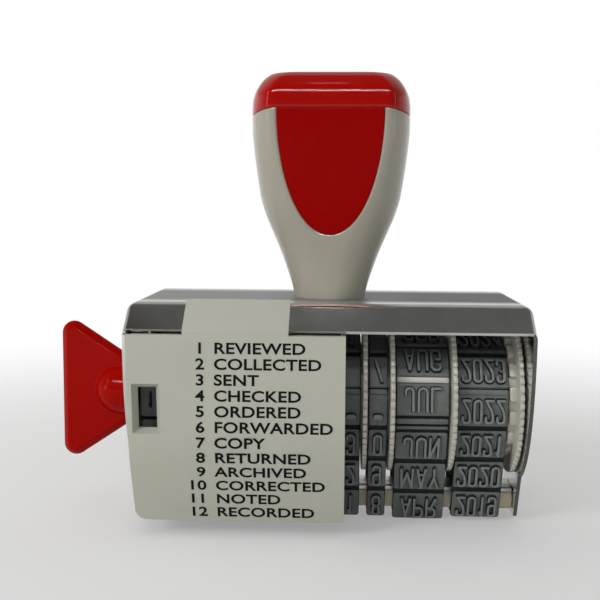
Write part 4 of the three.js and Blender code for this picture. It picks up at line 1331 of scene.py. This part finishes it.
def make_band(name, node, travels, extras, words):
    """A rubber band: the swept carrier, its blocks and its raised type.

    travels holds the places of the plain blocks, extras holds (travel, length, rise, finish, x, width)
    rows of the others, and words holds (travel, text, x, size, stretch) rows.
    """
    low, high = span(node)
    centre, width = (low.x + high.x) / 2, high.x - low.x
    path = belt_path()
    path.data.transform(Matrix.Translation((centre * MM, 0, 0)))
    block = make_block(width, BLOCK_PITCH - BLOCK_GAP)
    mesh = bpy.data.meshes.new("block_places")
    mesh.from_pydata([(centre * MM, *(band_place(travel)[0] * MM)) for travel in travels], [], [])
    turns = mesh.attributes.new("turn", "FLOAT_VECTOR", "POINT")
    for item, travel in zip(turns.data, travels):
        item.vector = (block_turn(travel), 0, 0)
    belt = BELT_WITH_BLOCKS.grown(linked("block_places", mesh), Path=path, Width=width * MM,
                                  Thickness=CARRIER * MM, Block=block, Material=BAND_RUBBER)
    shade_grooves(belt.data)
    pairs = [(belt.data, Matrix())]
    others = [block, path, belt]
    for travel, length, rise, finish, x, across in extras:
        extra = make_block(across, length, rise)
        # Extra blocks keep their given finish on the face; what lies below gets the dark rubber of ink and
        # painted shade
        for face in extra.data.polygons:
            face.material_index = finish if face.center.z > (rise - FACE_MARGIN) * MM else SHADED
        pairs.append((extra.data, laid(travel, 0, x)))
        others.append(extra)
    flip = Matrix.Diagonal((1, -1, 1, 1))
    for travel, text, x, size, stretch in words:
        spot = laid(travel, BLOCK_BASE) @ flip
        pairs += [(letter, spot @ own) for letter, own in typeset(text, x, size, stretch)]
    band = gathered(name, pairs)
    for other in others:
        bpy.data.objects.remove(other)
    return finished(band, BAND_FINISHES, "root", node, 25)


def make_date_band(dial, labels, offset, extras, shifts=(0,) * BLOCK_COUNT, stretch=1.0):
    """A date band. labels run from the block just ahead of the lowest one upwards, then round the back."""
    node = dial + "_band"
    low, high = span(node)
    centre, width = (low.x + high.x) / 2, high.x - low.x
    travels = [offset - BLOCK_PITCH * (index + 1) - shift for index, shift in enumerate(shifts)]
    words = [(travel, label, centre, 1.0, stretch) for travel, label in zip(travels, labels) if label]
    return make_band(dial + "_type_band", node, travels, [(*extra, centre, width) for extra in extras], words)


DAY_OFFSET = 1.2
YEAR_OFFSET = 1.05
MONTH_OFFSET = 1.6
MONTH_SHIFTS = (0, 0, 0, 2.2, 2.2, 1.8, 1.35, 0.9, 0.45, 0, 0, 0, 0)
JOINT_LENGTH = 2.6
PATCH_LENGTH = 1.6
PATCH_RISE = 0.3
WINDOW_DIGIT = 0.66
NUMBER_PAD = 2.9
NUMBER_PAD_INSET = 1.7


def make_bands():
    """The five bands. Each date band has a joint above its fourth block: a plain piece, or two ribs."""
    def joint(offset):
        return [(offset - BLOCK_PITCH * 4.5 + JOINT_LENGTH / 2 - 0.4, JOINT_LENGTH, BLOCK_BASE, FACE)]

    make_date_band("day_tens", ["1", "2", "3", "-", "", "1", "2", "3", "", "1", "2", "3", ""], DAY_OFFSET,
                   joint(DAY_OFFSET))
    make_date_band("day_units", ["8", "9", "0", "-", "/", "", "1", "2", "3", "4", "5", "6", "7"],
                   DAY_OFFSET, joint(DAY_OFFSET))
    ribs = [(MONTH_OFFSET - BLOCK_PITCH * 3.5 - 0.45, 0.75, BLOCK_BASE, FACE),
            (MONTH_OFFSET - BLOCK_PITCH * 3.5 - 1.65, 1.15, BLOCK_BASE, FACE),
            (MONTH_OFFSET - BLOCK_PITCH * 4.5 - MONTH_SHIFTS[3], PATCH_LENGTH, PATCH_RISE, PALE)]
    months = "APR MAY JUN JUL AUG SEP OCT NOV DEC  JAN FEB MAR".split(" ")
    make_date_band("month", months, MONTH_OFFSET, ribs, MONTH_SHIFTS, 1.18)
    years = [str(2019 + index) for index in range(12)] + ["2018"]
    make_date_band("year", years, YEAR_OFFSET, joint(YEAR_OFFSET))
    low, high = span("phrase_band")
    pad_place = low.x + NUMBER_PAD_INSET
    travels = [-BLOCK_PITCH * index for index in range(BLOCK_COUNT)]
    words, pads = [], []
    for index, travel in enumerate(travels):
        # The number pads take the lighter type rubber: painted light that brightens them in the shade behind
        # the cover's window
        pads.append((travel, BLOCK_PITCH - 0.3, BLOCK_BASE + 0.16, TOP, pad_place, NUMBER_PAD))
        number = (index - 4) % BLOCK_COUNT + 1
        if number <= len(PHRASES):
            words.append((travel, str(number), pad_place + 0.1, WINDOW_DIGIT, 1.0))
            words.append((travel, PHRASES[number - 1], (low.x + high.x) / 2 + 1.8, 1.0, 1.15))
    make_band("phrase_type_band", "phrase_band", travels, pads, words)


# Dials

DISC_RADIUS = RIM_RADIUS - TOOTH_DEPTH
TOOTH_SHARE = 0.72
RIB_SHARE = 0.6
RIM_HOLLOW = 0.14

SHOULDER_LEAST = 0.5


def make_tooth(low, high):
    """One tooth of a rim, in place above the axle's line."""
    half = math.pi * RIM_RADIUS / TOOTH_COUNT * TOOTH_SHARE
    levels = ((DISC_RADIUS - 0.12, 0), (RIM_RADIUS - 0.16, 0), (RIM_RADIUS - 0.05, 0.05), (RIM_RADIUS, 0.17))
    return tapered("tooth", (low, -half), (high, half), levels, 0.14, 2)


def make_rib(low, high, root, tip):
    """One rib of a drum, in place above the axle's line."""
    half = math.pi * tip / HUB_RIB_COUNT * RIB_SHARE
    levels = ((root - 0.15, 0), (tip - 0.22, 0), (tip - 0.07, 0.06), (tip, 0.22))
    return tapered("rib", (low, -half), (high, half), levels, 0.3, 2)


def round_axle(base, copied, copies, start=0.0):
    grown = COPIES_ROUND_AXLE.grown(base, Copies=copies, Copied=copied,
                                    Axle=(0, 0, AXLE_HEIGHT * MM), Start=start, Material=DIAL_WHITE)
    bpy.data.objects.remove(copied)
    return grown


def make_dial(dial):
    """A date dial: a disc with a toothed rim, and the ribbed drum that drives the band."""
    low, high = span(dial + "_wheel")
    band_right = span(dial + "_band")[1].x
    bore, core = AXLE_RADIUS + AXLE_GAP, DRUM_RADIUS - DRUM_RIB_DEPTH
    rim_left, rim_right = high.x - RIM_THICKNESS, high.x
    shouldered = rim_left - band_right > SHOULDER_LEAST
    hub = HUB_RADIUS - 0.75 if shouldered else core
    profile = [(bore, low.x), (core, low.x), (core, band_right + 0.1), (hub, band_right + 0.14),
               (hub, rim_left), (DISC_RADIUS - 0.1, rim_left), (DISC_RADIUS, rim_left + 0.1),
               (DISC_RADIUS, rim_right - 0.1), (DISC_RADIUS - 0.1, rim_right),
               (DISC_RADIUS - 1.5, rim_right), (DISC_RADIUS - 1.6, rim_right - RIM_HOLLOW),
               (bore + 1.4, rim_right - RIM_HOLLOW), (bore + 1.3, rim_right), (bore, rim_right)]
    wheel = turned(dial + "_dial", profile, 128, closed=True)
    wheel = round_axle(wheel, make_tooth(rim_left, rim_right), TOOTH_COUNT)
    wheel = round_axle(wheel, make_rib(low.x, band_right, core, DRUM_RADIUS), HUB_RIB_COUNT)
    if shouldered:
        rib = make_rib(band_right + 0.14, rim_left + 0.1, hub, HUB_RADIUS)
        wheel = round_axle(wheel, rib, HUB_RIB_COUNT, 0.2)
    return finished(wheel, [DIAL_WHITE], dial + "_dial", dial + "_wheel")


def make_phrase_drum():
    bore, core = AXLE_RADIUS + AXLE_GAP, DRUM_RADIUS - DRUM_RIB_DEPTH
    socket = TONGUE_HALF + 1.6
    profile = [(bore, DRUM_LEFT + 7.4), (socket, DRUM_LEFT + 7.2), (socket, DRUM_LEFT),
               (core - 0.2, DRUM_LEFT), (core, DRUM_LEFT + 0.2), (core, DRUM_RIGHT - 0.2),
               (core - 0.2, DRUM_RIGHT), (bore, DRUM_RIGHT)]
    drum = turned("phrase_drum_moulding", profile, 96, closed=True)
    drum = round_axle(drum, make_rib(DRUM_LEFT, DRUM_RIGHT, core, DRUM_RADIUS), HUB_RIB_COUNT)
    return finished(drum, [DIAL_WHITE], "phrase_dial", "phrase_drum")


# Shoe, its strip, and the axle

RIVET_RADIUS = 2.7
RIVET_RISE = 1.02
WASHER_RADIUS = 3.4
RIM_EASE = 0.08


def make_shoe():
    end = HALF_WIDTH - SHEET - 0.15
    corners = [(-SHOE_HALF_DEPTH, SHOE_TOP), (-SHOE_HALF_DEPTH, SHOE_BOTTOM),
               (SHOE_HALF_DEPTH, SHOE_BOTTOM), (SHOE_HALF_DEPTH, SHOE_TOP)]
    outline = [(y, SHOE_TOP if z > SHOE_TOP - 0.05 else z)
               for y, z in rounded_line(corners, SHOE_CORNER, True, 6)]
    reach = HALF_WIDTH + 0.3
    pegs = [bar("peg", PEG_RADIUS, -reach, reach, side * PEG_OFFSET, PEG_HEIGHT, 32) for side in (-1, 1)]
    shoe = eased(joined(prism("print_shoe_bar", outline, -end, end), *pegs), 0.12, 2, 35)
    finished(shoe, [SHOE_CREAM], "root", "print_shoe")
    strip, tabs = (box(name, (-x, -y, SHOE_TOP), (x, y, SHOE_TOP + STRIP)) for name, x, y in (
        ("shoe_strip_plate", end, SHOE_HALF_DEPTH), ("tabs", HALF_WIDTH + 0.4, STRIP_TAB_HALF_DEPTH)))
    strip = eased(joined(strip, tabs), 0.08, 2, 35)
    return finished(strip, [STEEL], "root", "shoe_strip")


def make_axle():
    """The axle as a long rivet with a domed head, and the washer under the head."""
    start = KNOB_FACE - 2 + 0.2
    face = HALF_WIDTH + 0.5
    profile = [(0, start), (AXLE_RADIUS - 0.2, start), (AXLE_RADIUS, start + 0.2), (AXLE_RADIUS, face),
               (RIVET_RADIUS - RIM_EASE, face), (RIVET_RADIUS, face + RIM_EASE)]
    for step in range(1, 12):
        turn = math.pi / 2 * step / 12
        profile.append((RIVET_RADIUS * math.cos(turn), face + RIM_EASE + RIVET_RISE * math.sin(turn)))
    profile.append((0, face + RIM_EASE + RIVET_RISE))
    finished(turned("axle_rivet", profile, 64), [STEEL], "root", "axle")
    bore, brim = AXLE_RADIUS + CLEARANCE, WASHER_RADIUS - RIM_EASE
    profile = [(bore, HALF_WIDTH), (brim, HALF_WIDTH), (WASHER_RADIUS, HALF_WIDTH + RIM_EASE),
               (WASHER_RADIUS, face - RIM_EASE), (brim, face), (bore, face)]
    washer = turned("axle_rivet_washer", profile, 64, closed=True)
    return finished(washer, [STEEL], "root", "axle_washer")


# Floor, light and world

FLOOR_SIZE = 4000
FLOOR_LEVEL = -0.02
FLOOR_WHITE = (40, 230)
FLOOR_LIFT = 0.3

# Stops (share of the way up, grey or colour) of the wall behind the object and of the one before it
WALL_BEHIND = ((0.0, 1.0), (0.215, 1.0), (0.3, (0.52, 0.52, 0.49)), (0.8, (0.5, 0.5, 0.47)), (0.9, 0.14),
               (1.0, 0.13))
WALL_BEFORE = ((0.0, 1.0), (0.045, 1.0), (0.085, 0.17), (0.5, 0.13), (0.8, 0.12), (0.93, 0.13))
WALL_TURN = ((0.35, 0.0), (0.62, 1.0))

# A brown patch of the ceiling, on one side of a slanting, wavy line
PATCH_SLANT = (1, 1.26, 0)
PATCH_EDGE = (-0.196, -0.206)
PATCH_HEIGHTS = (0.93, 0.95)
PATCH_WAVE = 0.02
PATCH_BROWN = (0.07, 0.055, 0.043)


def seen_directly(paint):
    """1 for rays from the camera, mirrors and glass, 0 for rays that carry light."""
    seen = camera = paint.node("ShaderNodeLightPath", output="Is Camera Ray")
    for label in ("Is Glossy Ray", "Is Transmission Ray"):
        seen = seen.math("MAXIMUM", seen, camera.beside(label))
    return seen


def make_floor():
    """A white floor that fades into the white room."""
    paint = Paint("floor_white")
    paint.finish(colour=(0.8, 0.8, 0.8), roughness=0.9, specular=0.0)
    glow = paint.node("ShaderNodeEmission", {}, {"Color": (1, 1, 1, 1), "Strength": 1.0})
    distance = paint.node("ShaderNodeVectorMath", {"operation": "LENGTH"}, {0: paint.place}, output="Value")
    fade = paint.between(distance, *FLOOR_WHITE, FLOOR_LIFT, 1.0, smooth=True)
    plain = Wire(paint, paint.shader.outputs["BSDF"])
    mixed = paint.node("ShaderNodeMixShader", {}, {0: fade * seen_directly(paint), 1: plain, 2: glow})
    paint.feed(paint.tree.nodes["Material Output"].inputs["Surface"], mixed)
    half = FLOOR_SIZE / 2
    corners = [(x, y, FLOOR_LEVEL) for x, y in rectangle((-half, -half), (half, half))]
    floor = mesh_object("floor", corners, [(0, 1, 2, 3)])
    floor.data.materials.append(paint.material)


def make_world():
    """A pale room: a white backdrop, soft grey walls and a darker ceiling that the plated roof mirrors."""
    world = bpy.data.worlds.new("pale_room")
    world.use_nodes = True
    bpy.context.scene.world = world
    room = Graph(world.node_tree)
    way = room.node("ShaderNodeTexCoord", output="Generated")
    height = room.node("ShaderNodeSeparateXYZ", {}, {0: way}, output="Z")
    turn = room.ramp(height.beside("Y").spread(0.5, 1.0), *WALL_TURN)
    walls = room.mix(turn, room.ramp(height, *WALL_BEFORE), room.ramp(height, *WALL_BEHIND))
    slant = room.node("ShaderNodeVectorMath", {"operation": "DOT_PRODUCT"}, {0: way, 1: PATCH_SLANT},
                      output="Value")
    clutter = room.node("ShaderNodeTexNoise", {}, {"Vector": way, "Scale": 30})
    near = room.between(clutter * PATCH_WAVE + slant, *PATCH_EDGE)
    patch = near * room.between(height, *PATCH_HEIGHTS)
    room.feed(room.tree.nodes["Background"].inputs["Color"], room.mix(patch, walls, PATCH_BROWN))


def softbox(name, place, target, width, height, power, mirrored=True, lighting=True):
    light = bpy.data.lights.new(name, "AREA")
    light.shape = "RECTANGLE"
    light.size, light.size_y = width * MM, height * MM
    light.energy = power
    lamp = linked(name, light)
    aim = (Vector(target) - Vector(place)).to_track_quat("-Z", "Y").to_matrix().to_4x4()
    lamp.matrix_world = Matrix.Translation(Vector(place) * MM) @ aim
    lamp.visible_glossy = mirrored
    lamp.visible_diffuse = lighting
    lamp.visible_camera = False


def make_lights():
    softbox("front_left_softbox", (-390, -330, 270), (0, 0, 30), 190, 190, 1.22, mirrored=False)
    softbox("top_softbox", (-60, -60, 520), (0, 0, 30), 420, 420, 0.68, mirrored=False)
    softbox("floor_bounce", (-80, -330, 12), (0, 0, 25), 400, 60, 0.16, mirrored=False)
    softbox("high_tube", (-30, -360, 330), (0, 0, 60), 470, 16, 2.7, lighting=False)
    softbox("low_tube", (-30, -420, 240), (0, 0, 60), 500, 3, 0.06)
    softbox("left_strip", (-460, -200, 120), (0, 0, 50), 30, 420, 0.4, lighting=False)
    softbox("right_strip", (440, -160, 120), (0, 0, 50), 14, 300, 0.12, lighting=False)
    softbox("overhead_lamp", (-8, 24, 500), (0, -13, 36), 22, 10, 0.005, lighting=False)


def make_stamp():
    make_frame_shell()
    make_handle_body()
    make_plaque("front_shield", -1, "front_plaque")
    make_plaque("back_shield", 1, "back_plaque")
    make_handle_cap()
    make_screw()
    make_knob()
    make_cover()
    make_cover_print()
    make_bands()
    for dial in DIALS:
        make_dial(dial)
    make_phrase_drum()
    make_shoe()
    make_axle()


bpy.context.scene.view_settings.view_transform = "Standard"
make_camera()
make_floor()
make_world()
make_lights()
make_stamp()
